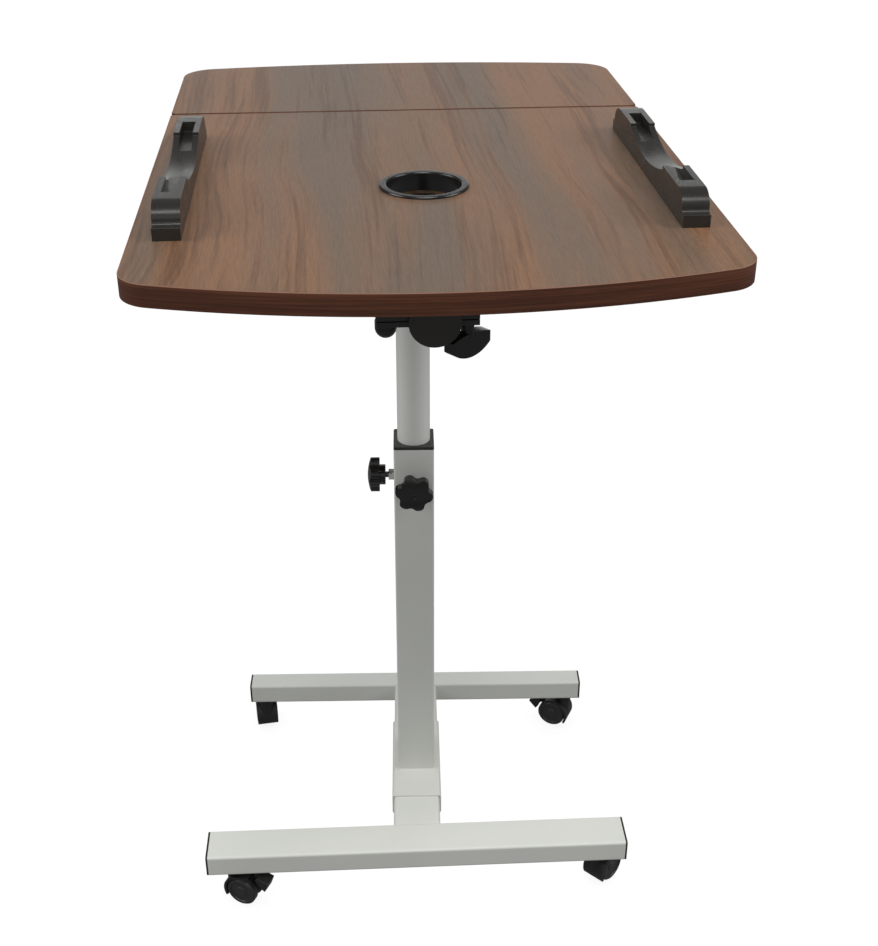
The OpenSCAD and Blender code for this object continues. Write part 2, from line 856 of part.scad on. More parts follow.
module stem_holes(stem_x) {
    for (side = [-1, 1]) translate([side * stem_x, 0, caster_h - over])
        cylinder(r = stem_thread_r + screw_clear, h = bar_wall + 2 * over);
}

module bar_bolt_hole() {
    translate([0, 0, caster_h + bar_h / 2]) rotate([-90, 0, 0])
        cylinder(r = bar_bolt_r + screw_clear, h = near_bar_w);
}

module near_foot_bar() {
    color("#e6e8e6") on_near_bar() difference() {
        bar_tube(near_bar_len, near_bar_w);
        stem_holes(near_stem_x);
        bar_bolt_hole();
    }
}

module far_foot_bar() {
    color("#e6e8e6") on_far_bar() difference() {
        bar_tube(far_bar_len, far_bar_w);
        stem_holes(far_stem_x);
        rotate([0, 0, 180]) bar_bolt_hole();
    }
}

module end_caps(len, w, stem_in) {
    plug_len = 0.8 * (stem_in - cap_t - stem_nut_r);
    plug_gap = 2 * (bar_wall + screw_clear);
    color("#282624") for (side = [-1, 1]) scale([side, 1, 1])
        translate([len / 2 - cap_t, 0, caster_h + bar_h / 2]) {
            rotate([90, 0, 90]) linear_extrude(cap_t) rounded_rect(w, bar_h, tube_corner_r);
            rotate([90, 0, 90]) translate([0, 0, -plug_len]) linear_extrude(plug_len + cap_t / 2)
                rounded_rect(w - plug_gap, bar_h - plug_gap, tube_corner_r - bar_wall);
        }
}

module near_bar_caps() { on_near_bar() end_caps(near_bar_len, near_bar_w, near_stem_in); }
module far_bar_caps() { on_far_bar() end_caps(far_bar_len, far_bar_w, far_stem_in); }

module sleeve_screw_places() {
    for (y = [-1, 1]) translate([0, y * sleeve_half * 0.6, caster_h]) children();
}

// The beam runs from bar to bar; its near end is cut to the near bar's turn
module foot_beam() {
    near_face = near_bar_off - near_bar_w / 2 / cos(near_bar_turn);
    color("#e6e8e6") difference() {
        at_post() translate([0, -near_face - 5, beam_z + beam_h / 2]) rotate([-90, 0, 0])
            linear_extrude(near_face + 5 + far_bar_off - far_bar_w / 2)
                tube_section(beam_w, beam_h);
        on_near_bar() translate([-sleeve_w, -near_bar_w / 2, caster_h - over])
            cube([2 * sleeve_w, near_bar_w, bar_h + 2 * over]);
        at_post() sleeve_screw_places() translate([0, 0, -over])
            cylinder(r = cross_screw_r + screw_clear, h = bar_h / 2);
    }
}

// A block in each end of the beam takes the bolt that comes through the bar's wall.
// The near one's hole is slack, so that the near bar can sit askew.
module beam_end(reach, slack) {
    block_w = beam_w - 2 * (bar_wall + screw_clear);
    block_h = beam_h - 2 * (bar_wall + screw_clear);
    translate([0, 0, caster_h + bar_h / 2]) rotate([90, 0, 0])
        translate([0, 0, -reach - end_block_len]) difference() {
            linear_extrude(end_block_len)
                rounded_rect(block_w, block_h, tube_corner_r - bar_wall);
            translate([0, 0, -over])
                cylinder(r = bar_bolt_r + screw_clear + slack, h = end_block_len + 2 * over);
        }
}

module bar_bolt() {
    translate([0, 0, caster_h + bar_h / 2]) rotate([-90, 0, 0]) {
        translate([0, 0, -bar_bolt_head_t]) cylinder(r = bar_bolt_head_r, h = bar_bolt_head_t);
        cylinder(r = bar_bolt_r, h = bar_wall + end_block_len);
    }
}

module beam_end_blocks() {
    color("#282624") {
        at_post() translate([0, -near_bar_off, 0])
            beam_end(near_bar_w / 2 + over,
                (near_bar_w / 2 + over + end_block_len) * sin(near_bar_turn));
        on_far_bar() rotate([0, 0, 180]) beam_end(far_bar_w / 2 + over, 0);
    }
}

module bar_bolts() {
    color("silver") {
        on_near_bar() translate([0, near_bar_w / 2 - bar_wall, 0]) bar_bolt();
        on_far_bar() rotate([0, 0, 180]) translate([0, far_bar_w / 2 - bar_wall, 0]) bar_bolt();
    }
}

module beam_sleeve() {
    color("#e6e8e6") at_post() difference() {
        translate([0, -sleeve_half, caster_h + bar_h / 2]) rotate([-90, 0, 0])
            linear_extrude(2 * sleeve_half) tube_section(sleeve_w, bar_h);
        sleeve_screw_places() translate([0, 0, -over])
            cylinder(r = cross_screw_r + screw_clear, h = bar_h / 2);
    }
}

module sleeve_screws() {
    color("silver") at_post() sleeve_screw_places() cross_screw(8);
}

// Casters

module at_near_stem(side, swing) {
    on_near_bar() translate([side * near_stem_x, 0, 0])
        rotate([0, 0, swing - near_bar_turn]) children();
}

module at_far_stem(side, swing) {
    on_far_bar() translate([side * far_stem_x, 0, 0]) rotate([0, 0, swing]) children();
}

module at_every_stem() {
    for (side = [-1, 1]) {
        at_near_stem(side, 0) children();
        at_far_stem(side, 0) children();
    }
}

module caster_stems() {
    color("silver") at_every_stem() {
        translate([0, 0, wheel_r + 6]) cylinder(r = stem_journal_r, h = caster_h - wheel_r - 6);
        translate([0, 0, caster_h - stem_collar_t])
            cylinder(r = 7, h = stem_collar_t, $fn = hex_fn);
        translate([0, 0, caster_h]) cylinder(r = stem_thread_r, h = 14);
    }
}

module stem_nuts() {
    color("silver") at_every_stem() translate([0, 0, caster_h + bar_wall]) difference() {
        cylinder(r = stem_nut_r, h = stem_nut_t, $fn = hex_fn);
        translate([0, 0, -over])
            cylinder(r = stem_thread_r + screw_clear / 3, h = stem_nut_t + 2 * over);
    }
}

// A side view drawn round the axle, X towards the trail and Y up, made w wide
module across_axle(w) {
    translate([caster_trail, 0, wheel_r]) rotate([90, 0, 0]) translate([0, 0, -w / 2])
        linear_extrude(w) children();
}

// Sector between two directions, in degrees
module wedge(from, to, reach) {
    mid = (from + to) / 2;
    polygon([[0, 0], reach * [cos(from), sin(from)], 1.5 * reach * [cos(mid), sin(mid)],
        reach * [cos(to), sin(to)]]);
}

module hood_cover() {
    in_r = wheel_r + face_clear * 2;
    out_r = in_r + hood_t;
    difference() {
        union() {
            intersection() {
                circle(out_r);
                union() {
                    wedge(66, 140, 2 * out_r);
                    wedge(140, 208, 2 * out_r);
                }
            }
            translate([-caster_trail - 7, 0])
                square([14, hood_top_z - wheel_r]);
        }
        circle(in_r);
    }
}

module caster_hood(braked) {
    slot_w = lever_arm_t + 2 * face_clear;
    color("#282624") difference() {
        union() {
            across_axle(2 * hood_half) intersection() {
                hood_cover();
                circle(wheel_r + face_clear * 2 + hood_t);
            }
            across_axle(web_t) {
                circle(wheel_r * 0.45);
                intersection() {
                    circle(wheel_r + 1);
                    wedge(95, 200, 2 * wheel_r);
                }
            }
            difference() {
                translate([0, 0, wheel_r])
                    cylinder(r = 7.5, h = hood_top_z - wheel_r);
                across_axle(4 * hood_half) circle(wheel_r + face_clear * 2);
            }
            if (braked) across_axle(web_t) difference() {
                translate(lever_pin) circle(lever_arm_r + 0.6);
                circle(wheel_r * 0.3);
            }
        }
        translate([0, 0, wheel_r + 6 - face_clear])
            cylinder(r = stem_journal_r + run_clear, h = caster_h);
        across_axle(web_t + 2 * over) circle(axle_r + run_clear);
        if (braked) {
            across_axle(web_t + 2 * over) translate(lever_pin) circle(lever_pin_r + run_clear);
            across_axle(slot_w) translate(lever_pin) wedge(-60, 62, 3 * wheel_r);
            across_axle(slot_w) translate(lever_pin) circle(lever_arm_r + 1.2);
        }
    }
}

// Each wheel: a tread with rounded shoulders, a dished face and a hub closed over the axle
module wheel() {
    bore_r = axle_r + run_clear / 4;
    dish = wheel_w - 1.2;
    rotate_extrude() polygon([[bore_r, 0], [wheel_r - 0.8, 0], [wheel_r, 0.8],
        [wheel_r, wheel_w - 1.6], [wheel_r - 1.6, wheel_w], [wheel_r - 4, wheel_w],
        [wheel_r - 4.6, dish], [6, dish], [5.4, hub_face], [0, hub_face],
        [0, hub_face - hub_cap_t], [bore_r, hub_face - hub_cap_t]]);
}

module caster_wheels() {
    color("#1c1b1a") translate([caster_trail, 0, wheel_r]) for (turn = [90, -90])
        rotate([turn, 0, 0]) translate([0, 0, web_t / 2 + face_clear]) wheel();
}

module caster_axle() {
    half = web_t / 2 + hub_face - hub_cap_t;
    color("silver") across_axle(2 * half) circle(axle_r);
}

// Pedal with an arm that reaches in between the wheels to its pin
module brake_lever(press) {
    color("#282624") translate([caster_trail, 0, wheel_r])
        translate([lever_pin[0], 0, lever_pin[1]]) rotate([0, press, 0])
            translate([-lever_pin[0], 0, -lever_pin[1]]) difference() {
                union() {
                    rotate([90, 0, 0]) translate([0, 0, -lever_arm_t / 2]) linear_extrude(lever_arm_t) {
                        translate(lever_pin) circle(lever_arm_r);
                        polygon([lever_pin + [0, lever_arm_r], lever_pin - [0, lever_arm_r],
                            wheel_r * [1.3, 0.6], wheel_r * [1.3, 1.25]]);
                    }
                    rotate([90, 0, 0]) translate([0, 0, -0.6 * hood_half])
                        linear_extrude(1.2 * hood_half) polygon(wheel_r * [[1.12, 0.8],
                            [1.3, 0.55], [1.6, 0.38], [1.85, 1.1], [1.05, 1.32], [0.9, 1.05]]);
                }
                rotate([90, 0, 0]) translate([lever_pin[0], lever_pin[1], -web_t])
                    cylinder(r = lever_pin_r + run_clear, h = 2 * web_t);
            }
}

module brake_pin() {
    color("silver") across_axle(web_t) translate(lever_pin) circle(lever_pin_r);
}

module near_left_hood() { at_near_stem(-1, near_left_swing) caster_hood(true); }
module near_right_hood() { at_near_stem(1, near_right_swing) caster_hood(false); }
module far_left_hood() { at_far_stem(-1, far_left_swing) caster_hood(false); }
module far_right_hood() { at_far_stem(1, far_right_swing) caster_hood(true); }
module near_left_wheels() { at_near_stem(-1, near_left_swing) caster_wheels(); }
module near_right_wheels() { at_near_stem(1, near_right_swing) caster_wheels(); }
module far_left_wheels() { at_far_stem(-1, far_left_swing) caster_wheels(); }
module far_right_wheels() { at_far_stem(1, far_right_swing) caster_wheels(); }
module near_left_axle() { at_near_stem(-1, near_left_swing) caster_axle(); }
module near_right_axle() { at_near_stem(1, near_right_swing) caster_axle(); }
module far_left_axle() { at_far_stem(-1, far_left_swing) caster_axle(); }
module far_right_axle() { at_far_stem(1, far_right_swing) caster_axle(); }
module near_left_brake() { at_near_stem(-1, near_left_swing) brake_lever(0); }
module far_right_brake() { at_far_stem(1, far_right_swing) brake_lever(brake_travel); }
module near_left_brake_pin() { at_near_stem(-1, near_left_swing) brake_pin(); }
module far_right_brake_pin() { at_far_stem(1, far_right_swing) brake_pin(); }

near_foot_bar();
far_foot_bar();
near_bar_caps();
far_bar_caps();
foot_beam();
beam_end_blocks();
bar_bolts();
beam_sleeve();
sleeve_screws();
square_post();
post_collar();
fixed_nuts();
caster_stems();
stem_nuts();
mast_glide();
mast_tube();
mast_plug();
mast_socket();
socket_screws();
tilt_tube();
tilt_tube_caps();
shelf_brackets();
side_shelf();
side_shelf_band();
shelf_bracket_screws();
main_panel();
main_panel_band();
grommet();
left_stop();
right_stop();
stop_screws();
clamp_upper();
clamp_lower();
clamp_bolt();
clamp_screw_nut();
tilt_hinge();
panel_bracket_screws();
clamp_screw();
clamp_handle();
front_stud();
front_knob();
side_stud();
side_knob();
near_left_hood();
near_right_hood();
far_left_hood();
far_right_hood();
near_left_wheels();
near_right_wheels();
far_left_wheels();
far_right_wheels();
near_left_axle();
near_right_axle();
far_left_axle();
far_right_axle();
near_left_brake();
far_right_brake();
near_left_brake_pin();
far_right_brake_pin();
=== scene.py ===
"""Rolling laptop desk: laminate boards, coated tubes, moulded stops, knobs and casters.

The solids of the frame are dressed where they stand. Lengths are metres, +Z is up
and +Y points away from the near end of the top.
"""

import json
import math

import bmesh
import bpy
from bpy.props import FloatProperty, FloatVectorProperty, PointerProperty
from mathutils import Matrix, Vector


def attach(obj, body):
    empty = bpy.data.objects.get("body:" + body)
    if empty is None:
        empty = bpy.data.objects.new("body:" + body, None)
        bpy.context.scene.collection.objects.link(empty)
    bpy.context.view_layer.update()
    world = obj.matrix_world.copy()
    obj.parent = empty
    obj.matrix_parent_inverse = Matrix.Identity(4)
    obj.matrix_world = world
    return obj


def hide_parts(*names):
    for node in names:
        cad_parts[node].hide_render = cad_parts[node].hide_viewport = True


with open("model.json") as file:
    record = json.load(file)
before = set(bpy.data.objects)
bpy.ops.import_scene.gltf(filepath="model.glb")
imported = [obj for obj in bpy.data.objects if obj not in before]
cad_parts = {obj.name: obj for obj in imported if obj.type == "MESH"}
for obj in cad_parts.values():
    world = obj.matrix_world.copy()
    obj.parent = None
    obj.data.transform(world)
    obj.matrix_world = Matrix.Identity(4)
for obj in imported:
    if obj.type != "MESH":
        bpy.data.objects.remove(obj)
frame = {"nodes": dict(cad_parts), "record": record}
NODES = frame["nodes"]
BODY_OF = {
    node: body
    for body, members in frame["record"]["behaviour"]["bodies"].items()
    for node in members
}

bl_info = {
    "name": "Rolling Laptop Desk",
    "version": (1, 0, 0),
    "blender": (4, 5, 0),
    "location": "3D View > Sidebar > Laptop Desk",
    "description": "Dresses the desk: laminate boards, coated tubes, moulded parts and casters",
    "category": "Object",
}

MM = 0.001
PREFIX = "desk_"

# Edges that turn more than this are rounded, and stay sharp in the shading.
CREASE = math.radians(32)
ROUND_STEPS = 3

# A board's face is flat when its normal points at least this much up or down.
FLAT_FACE = 0.9

# Sides of a threaded stud, and rows of points in one turn of its thread.
THREAD_SIDES = 24
THREAD_ROWS_PER_TURN = 8

# Shares of another size.
BAND_INSET = 0.53  # of the band's thickness, from its outer face to its middle line
BAND_FILLET = 0.9  # of the band's rounding
GROMMET_ROUND = 0.6  # of the moulded rounding
HOOD_ROUND = 0.8  # of the moulded rounding
STOP_FILLET = 0.35  # of the height of a stop's feet
STOP_LIP = 0.8  # of the fillet, from the top of a block down to the edge of the hollow
CHANNEL_START = 0.5  # of the near block's length
CHANNEL_END = 0.55  # of the far block's length
RECESS_REACH = 0.6  # of the screw head's radius


def linear(red, green, blue):
    """A colour given as it shows on a screen, 0 to 255, as the linear one that shaders use."""
    return tuple(
        c / 3294.6 if c <= 10.3 else ((c / 255 + 0.055) / 1.055) ** 2.4
        for c in (red, green, blue)
    )


def colour(label, note, red, green, blue):
    """A colour property that a user can change."""
    return FloatVectorProperty(
        name=label, description=note, subtype="COLOR", size=3, min=0, max=1,
        default=linear(red, green, blue),
    )


def length(label, note, millimetres):
    """A length property that a user can change."""
    return FloatProperty(
        name=label, description=note, subtype="DISTANCE", unit="LENGTH", min=0,
        default=millimetres * MM,
    )


def angle(label, note, degrees):
    """An angle property that a user can change."""
    return FloatProperty(
        name=label, description=note, subtype="ANGLE", unit="ROTATION",
        default=math.radians(degrees),
    )


def power(label, note, watts):
    """A light's power that a user can change."""
    return FloatProperty(name=label, description=note, unit="POWER", min=0, default=watts)


class DeskSizes(bpy.types.PropertyGroup):
    """Sizes of the dressed pieces."""

    top_turn: angle("Top Turn", "Turn of the top on its mast as it stands", 3.26)
    near_bow: length("Near Bow", "How far the near end bows out", 32)
    far_bow: length("Far Bow", "How far the far end bows out", 17)
    near_corner: length("Near Corner", "Radius of the two near corners", 26)
    far_corner: length("Far Corner", "Radius of the two far corners", 30)
    gap_corner: length("Gap Corner", "Radius of the small corners at the gap", 5)
    band: length("Edge Band", "Thickness of the edge band", 1)
    band_round: length("Band Rounding", "Radius of the band's top and bottom edges", 0.5)
    stop_length: length("Stop Length", "Length of a laptop stop", 247)
    stop_width: length("Stop Width", "Width of a laptop stop", 18.8)
    stop_height: length("Stop Height", "Height of a stop's two blocks", 22.2)
    stop_foot: length("Stop Foot", "Height of the feet at a stop's ends", 8.6)
    stop_block: length("Stop Block", "From a stop's end to the inner end of its block", 68)
    stop_near_face: length("Stop Near Face", "Run of a stop's rounded near face", 15)
    stop_far_face: length("Stop Far Face", "Run of a stop's rounded far face", 20)
    stop_hollow: length("Stop Hollow", "Height of a stop at its middle", 11.5)
    stop_channel: length("Stop Channel", "Width of the channel along a stop", 9.8)
    stop_channel_floor: length("Stop Channel Floor", "Height of the channel's floor", 14.5)
    moulded_round: length("Moulded Rounding", "Edge radius of the moulded plastic parts", 0.7)
    cast_round: length("Cast Rounding", "Edge radius of the cast clamp and brackets", 0.8)
    grip_round: length("Grip Rounding", "Edge radius of the knobs and the handle", 1.1)
    wheel_round: length("Wheel Rounding", "Edge radius of the wheels' steps", 0.3)
    metal_round: length("Metal Rounding", "Edge radius of nuts, bolts and screw heads", 0.5)
    thread_pitch: length("Thread Pitch", "Pitch of the threaded studs", 1.25)
    thread_depth: length("Thread Depth", "Depth of the studs' thread", 0.45)
    recess_width: length("Recess Width", "Width of each arm of a screw head's cross", 0.7)
    recess_depth: length("Recess Depth", "Depth of a screw head's cross", 1.2)


class DeskColours(bpy.types.PropertyGroup):
    """Colours of the finishes."""

    wood_grey: colour("Wood Grey", "Cool bands of the laminate", 114, 97, 83)
    wood_warm: colour("Wood Warm", "Warm bands of the laminate", 138, 102, 75)
    wood_dark: colour("Wood Dark", "Dark pores and streaks of the laminate", 76, 54, 42)
    core: colour("Board Core", "Pressed chips inside the boards", 150, 112, 84)
    backing: colour("Backing", "Paper on the underside of the boards", 120, 98, 82)
    band: colour("Edge Band", "Edge band round the boards", 100, 60, 42)
    band_dark: colour("Edge Band Streak", "Dark streaks of the edge band", 75, 44, 31)
    # Painted highlight: a light line along the band's rounded upper edge, where the edge would
    # catch the light.
    band_highlight: colour("Edge Band Edge", "Scraped upper edge of the edge band", 150, 112, 94)
    coat: colour("Powder Coat", "Pale powder coat of the tubes", 226, 228, 222)
    plastic: colour("Black Plastic", "Moulded stops, caps and collar", 43, 41, 38)
    casting: colour("Black Casting", "Coated clamp, hinge and socket", 27, 26, 26)
    grip: colour("Grip Plastic", "Knobs and handle", 24, 23, 23)
    caster: colour("Caster Plastic", "Hoods and levers of the casters", 32, 32, 32)
    # Lighter than the hoods: the wheels' black nylon plus a painted reflection of the floor.
    wheel_with_painted_reflection: colour("Wheel Plastic", "Wheels of the casters", 43, 43, 43)
    steel: colour("Zinc Steel", "Plated nuts, studs, screws and axles", 232, 231, 227)


class DeskStage(bpy.types.PropertyGroup):
    """Camera, lights and floor."""

    eye: FloatVectorProperty(
        name="Eye", description="Place of the camera", subtype="TRANSLATION", unit="LENGTH",
        size=3, default=(-0.00604, -1.06573, 1.03376),
    )
    lens: FloatProperty(
        name="Lens", description="Focal length on a 36 mm wide sensor", min=10, default=52.61
    )
    yaw: angle("Yaw", "Turn of the view to the right", 1.3227)
    pitch: angle("Pitch", "Tilt of the view below the horizon", 29.1114)
    roll: angle("Roll", "Turn of the picture about the view", 0.095)
    floor_size: length("Floor Size", "Side of the square floor", 24000)
    key_power: power("Key Power", "Softbox above the near end", 30)
    fill_power: power("Fill Power", "Softbox low in front", 6.5)
    low_power: power("Low Power", "Softbox at the floor, for the bright metal", 0.3)
    side_power: power("Side Power", "Softboxes left and right", 32)
    back_power: power("Back Power", "Low softbox behind, for sheen on the top", 5)
    rear_power: power("Rear Power", "Softbox behind, lower than the top", 4)
    floor_light: FloatProperty(
        name="Floor Light", description="Even light on the floor alone", min=0, default=3.0
    )
    room_light: FloatProperty(
        name="Room Light", description="Brightness of the pale room all round", min=0,
        default=0.18,
    )


class Wire:
    """One output of a node tree. Sums on wires and numbers add the maths nodes they need."""

    def __init__(self, tree, socket):
        self.tree = tree
        self.socket = socket

    def __add__(self, other):
        return self.tree.maths("ADD", self, other)

    def __radd__(self, other):
        return self.tree.maths("ADD", other, self)

    def __sub__(self, other):
        return self.tree.maths("SUBTRACT", self, other)

    def __rsub__(self, other):
        return self.tree.maths("SUBTRACT", other, self)

    def __mul__(self, other):
        return self.tree.maths("MULTIPLY", self, other)

    def __rmul__(self, other):
        return self.tree.maths("MULTIPLY", other, self)

    def __truediv__(self, other):
        return self.tree.maths("DIVIDE", self, other)

    def __rtruediv__(self, other):
        return self.tree.maths("DIVIDE", other, self)


class Tree:
    """A node tree under construction, for a material, a geometry modifier or the world."""

    def __init__(self, tree):
        self.tree = tree
        self.tree.nodes.clear()

    def node(self, kind, settings=None, sockets=None, out=0):
        """Adds one node: its settings first, then its sockets. Returns one of its outputs."""
        made = self.tree.nodes.new(kind)
        for name, value in (settings or {}).items():
            setattr(made, name, value)
        for key, value in (sockets or {}).items():
            self.feed(made.inputs[key], value)
        return Wire(self, made.outputs[out]) if len(made.outputs) else None

    def feed(self, socket, value):
        """Links a wire to a socket, or several to a joining one, or sets its own value."""
        for wire in value if isinstance(value, list) else [value]:
            if isinstance(wire, Wire):
                self.tree.links.new(wire.socket, socket)
            elif socket.type == "RGBA":
                socket.default_value = (*wire, 1)
            else:
                socket.default_value = wire

    def maths(self, operation, *values):
        """One maths node; its inputs are the values, in their order."""
        return self.node("ShaderNodeMath", {"operation": operation}, dict(enumerate(values)))

    def part(self, vector, axis):
        """One of a vector's three numbers."""
        return self.node("ShaderNodeSeparateXYZ", None, {0: vector}, out=axis)


class Material(Tree):
    """A procedural material on object coordinates."""

    def __init__(self, name):
        self.material = bpy.data.materials.new(PREFIX + name)
        self.material.use_nodes = True
        super().__init__(self.material.node_tree)

    def place(self, stretch=(1, 1, 1), turn=0):
        """Object coordinates in turned axes, stretched per axis."""
        here = self.node("ShaderNodeTexCoord", out="Object")
        turned = self.node(
            "ShaderNodeMapping", {"vector_type": "TEXTURE"},
            {"Vector": here, "Rotation": (0, 0, turn)},
        )
        return self.stretched(turned, stretch)

    def stretched(self, where, stretch):
        """The same place with each axis stretched."""
        return self.node(
            "ShaderNodeMapping", {"vector_type": "POINT"}, {"Vector": where, "Scale": stretch}
        )

    def shifted(self, where, amount, axis):
        """The same place moved along one axis by a varying amount."""
        move = self.node("ShaderNodeCombineXYZ", None, {axis: amount})
        return self.node("ShaderNodeVectorMath", {"operation": "ADD"}, {0: where, 1: move})

    def noise(self, where, detail=2, roughness=0.5):
        """Soft noise, about 0.3 to 0.7."""
        return self.node(
            "ShaderNodeTexNoise", {"noise_dimensions": "3D"},
            {"Vector": where, "Scale": 1, "Detail": detail, "Roughness": roughness},
        )

    def between(self, value, low, high, start=0, end=1):
        """A value stretched smoothly from its own range to another."""
        return self.node(
            "ShaderNodeMapRange", {"interpolation_type": "SMOOTHSTEP"},
            {"Value": value, "From Min": low, "From Max": high, "To Min": start, "To Max": end},
        )

    def blend(self, factor, first, second, mode="MIX"):
        """Two colours mixed by a factor."""
        return self.node(
            "ShaderNodeMix", {"data_type": "RGBA", "blend_type": mode},
            {0: factor, 6: first, 7: second}, out=2,
        )

    def bump(self, height, depth, strength=1):
        """Relief whose full height is depth."""
        return self.node(
            "ShaderNodeBump", None, {"Height": height, "Distance": depth, "Strength": strength}
        )

    def finish(self, **sockets):
        """Closes the material with one surface shader; names use _ for blanks."""
        named = {name.replace("_", " "): value for name, value in sockets.items()}
        surface = self.node("ShaderNodeBsdfPrincipled", None, named)
        self.node("ShaderNodeOutputMaterial", None, {"Surface": surface})
        return self.material


def wood_laminate(sizes, colours):
    """Printed walnut: wide grey and warm bands along the top, streaks and fine pores."""
    m = Material("wood_laminate")
    top = m.place(turn=sizes.top_turn)
    drift = m.noise(m.stretched(top, (3.4, 2.6, 1)), detail=1)
    waver = m.noise(m.stretched(top, (16, 7, 1)), detail=1)
    wavy = m.shifted(top, (drift - 0.5) * 0.06 + (waver - 0.5) * 0.006, "X")
    bands = m.noise(m.stretched(wavy, (17, 1.3, 1)), detail=1)
    figure = m.noise(m.stretched(wavy, (58, 2.2, 1)), detail=1.5)
    streaks = m.noise(m.stretched(wavy, (260, 7, 1)), detail=2, roughness=0.55)
    pores = m.noise(m.stretched(top, (1500, 60, 1)), detail=2)
    grain = m.noise(m.stretched(top, (900, 700, 1)), detail=2)
    warm = m.between(bands * 0.7 + figure * 0.3, 0.38, 0.62)
    ground = m.blend(warm, tuple(colours.wood_grey), tuple(colours.wood_warm))
    dark = m.between(streaks * 0.5 + figure * 0.5, 0.49, 0.66, 0, 0.5)
    streaked = m.blend(dark, ground, tuple(colours.wood_dark))
    light = m.between(pores * 0.45 + grain * 0.55, 0.32, 0.68, 0.78, 1.2)
    shade = m.blend(1, streaked, light, "MULTIPLY")
    relief = m.bump(pores, 0.00004, 0.5)
    return m.finish(
        Base_Color=shade, Roughness=m.between(grain, 0.3, 0.7, 0.40, 0.54), Normal=relief,
        IOR=1.45,
    )


def board_core(sizes, colours):
    """Pressed chips at a cut edge."""
    m = Material("board_core")
    chips = m.node(
        "ShaderNodeTexVoronoi", {"feature": "F1"},
        {"Vector": m.place((420, 420, 900)), "Scale": 1}, out="Color",
    )
    tone = m.noise(m.place((160, 160, 320)), detail=3)
    mottled = m.blend(0.35, tuple(colours.core), chips, "SOFT_LIGHT")
    shade = m.blend(1, mottled, m.between(tone, 0.3, 0.7, 0.7, 1.1), "MULTIPLY")
    return m.finish(Base_Color=shade, Roughness=0.9, Normal=m.bump(tone, 0.0004))


def board_backing(sizes, colours):
    """Brown backing paper with a faint cloudiness and fibres."""
    m = Material("board_backing")
    cloud = m.noise(m.place((14, 9, 1)), detail=4)
    fibre = m.noise(m.place((700, 240, 1)), detail=2)
    shade = m.blend(
        1, tuple(colours.backing), m.between(cloud + fibre, 0.7, 1.3, 0.88, 1.1), "MULTIPLY"
    )
    return m.finish(
        Base_Color=shade, Roughness=m.between(fibre, 0.3, 0.7, 0.6, 0.75),
        Normal=m.bump(fibre, 0.00003),
    )


def edge_band(sizes, colours):
    """Dark brown strip with thin streaks that run along the edge, and a painted highlight along
    its upper edge.
    """
    m = Material("edge_band")
    streaks = m.noise(m.place((9, 9, 620)), detail=3, roughness=0.6)
    fine = m.noise(m.place((60, 60, 2600)), detail=2)
    dark = m.between(streaks * 0.7 + fine * 0.3, 0.38, 0.62)
    shade = m.blend(dark, tuple(colours.band), tuple(colours.band_dark))
    # Painted highlight: the band's top edge is lightened, except near the gap between the
    # boards.
    far_corner = in_top_axes("main_panel_band", sizes.top_turn)[1]
    top = m.place(turn=sizes.top_turn)
    below = far_corner.z - m.part(top, "Z")
    edge = m.between(below, 0.3 * sizes.band_round, sizes.band_round, 1, 0)
    from_gap = m.maths("ABSOLUTE", m.part(top, "Y") - far_corner.y)
    painted_highlight = edge * m.between(from_gap, 6 * sizes.band, 12 * sizes.band)
    highlighted = m.blend(painted_highlight, shade, tuple(colours.band_highlight))
    return m.finish(
        Base_Color=highlighted, Roughness=m.between(fine, 0.3, 0.7, 0.42, 0.54),
        Normal=m.bump(fine, 0.00003, 0.6), Specular_IOR_Level=0.25,
    )


def powder_coat(sizes, colours):
    """Pale baked powder: fine orange peel and a breath of uneven tone."""
    m = Material("powder_coat")
    peel = m.noise(m.place((620, 620, 620)), detail=1.5)
    dust = m.noise(m.place((2600, 2600, 2600)), detail=1)
    cloud = m.noise(m.place((9, 9, 5)), detail=3)
    tone = m.between(cloud * 0.8 + dust * 0.2, 0.3, 0.7, 0.955, 1.02)
    shade = m.blend(1, tuple(colours.coat), tone, "MULTIPLY")
    return m.finish(
        Base_Color=shade, Roughness=m.between(dust, 0.3, 0.7, 0.36, 0.48),
        Normal=m.bump(peel, 0.00006, 0.7), Coat_Weight=0.12, Coat_Roughness=0.2,
    )


def moulded(name, shade, grain_depth, gloss, spread=0.1):
    """Black moulded plastic: fine spark texture, faint flow marks and handling marks."""
    m = Material(name)
    spark = m.noise(m.place((1900, 1900, 1900)), detail=2)
    flow = m.noise(m.place((36, 24, 60)), detail=4, roughness=0.6)
    rubbed = m.between(flow, 0.52, 0.72, 0, 0.10)
    tone = m.blend(rubbed, tuple(shade), tuple(min(1, 2.2 * c + 0.012) for c in shade))
    uneven = spark * 0.4 + flow * 0.6
    rough = m.between(uneven, 0.3, 0.7, gloss - spread / 2, gloss + spread / 2)
    return m.finish(Base_Color=tone, Roughness=rough, Normal=m.bump(spark, grain_depth, 0.8))


def black_plastic(sizes, colours):
    """Satin black of the stops, the caps and the collar."""
    return moulded("black_plastic", colours.plastic, 0.00007, 0.30, 0.12)


def black_casting(sizes, colours):
    """Thick black coat over a casting, with a soft wavy skin."""
    m = Material("black_casting")
    skin = m.noise(m.place((240, 240, 240)), detail=3)
    pit = m.noise(m.place((1500, 1500, 1500)), detail=1)
    rubbed = m.between(skin, 0.6, 0.75, 0, 0.08)
    tone = m.blend(rubbed, tuple(colours.casting), (0.09, 0.09, 0.088))
    relief = m.bump(skin * 0.7 + pit * 0.3, 0.00012, 0.7)
    return m.finish(
        Base_Color=tone, Roughness=m.between(pit, 0.3, 0.7, 0.34, 0.46), Normal=relief,
        Coat_Weight=0.15, Coat_Roughness=0.25,
    )


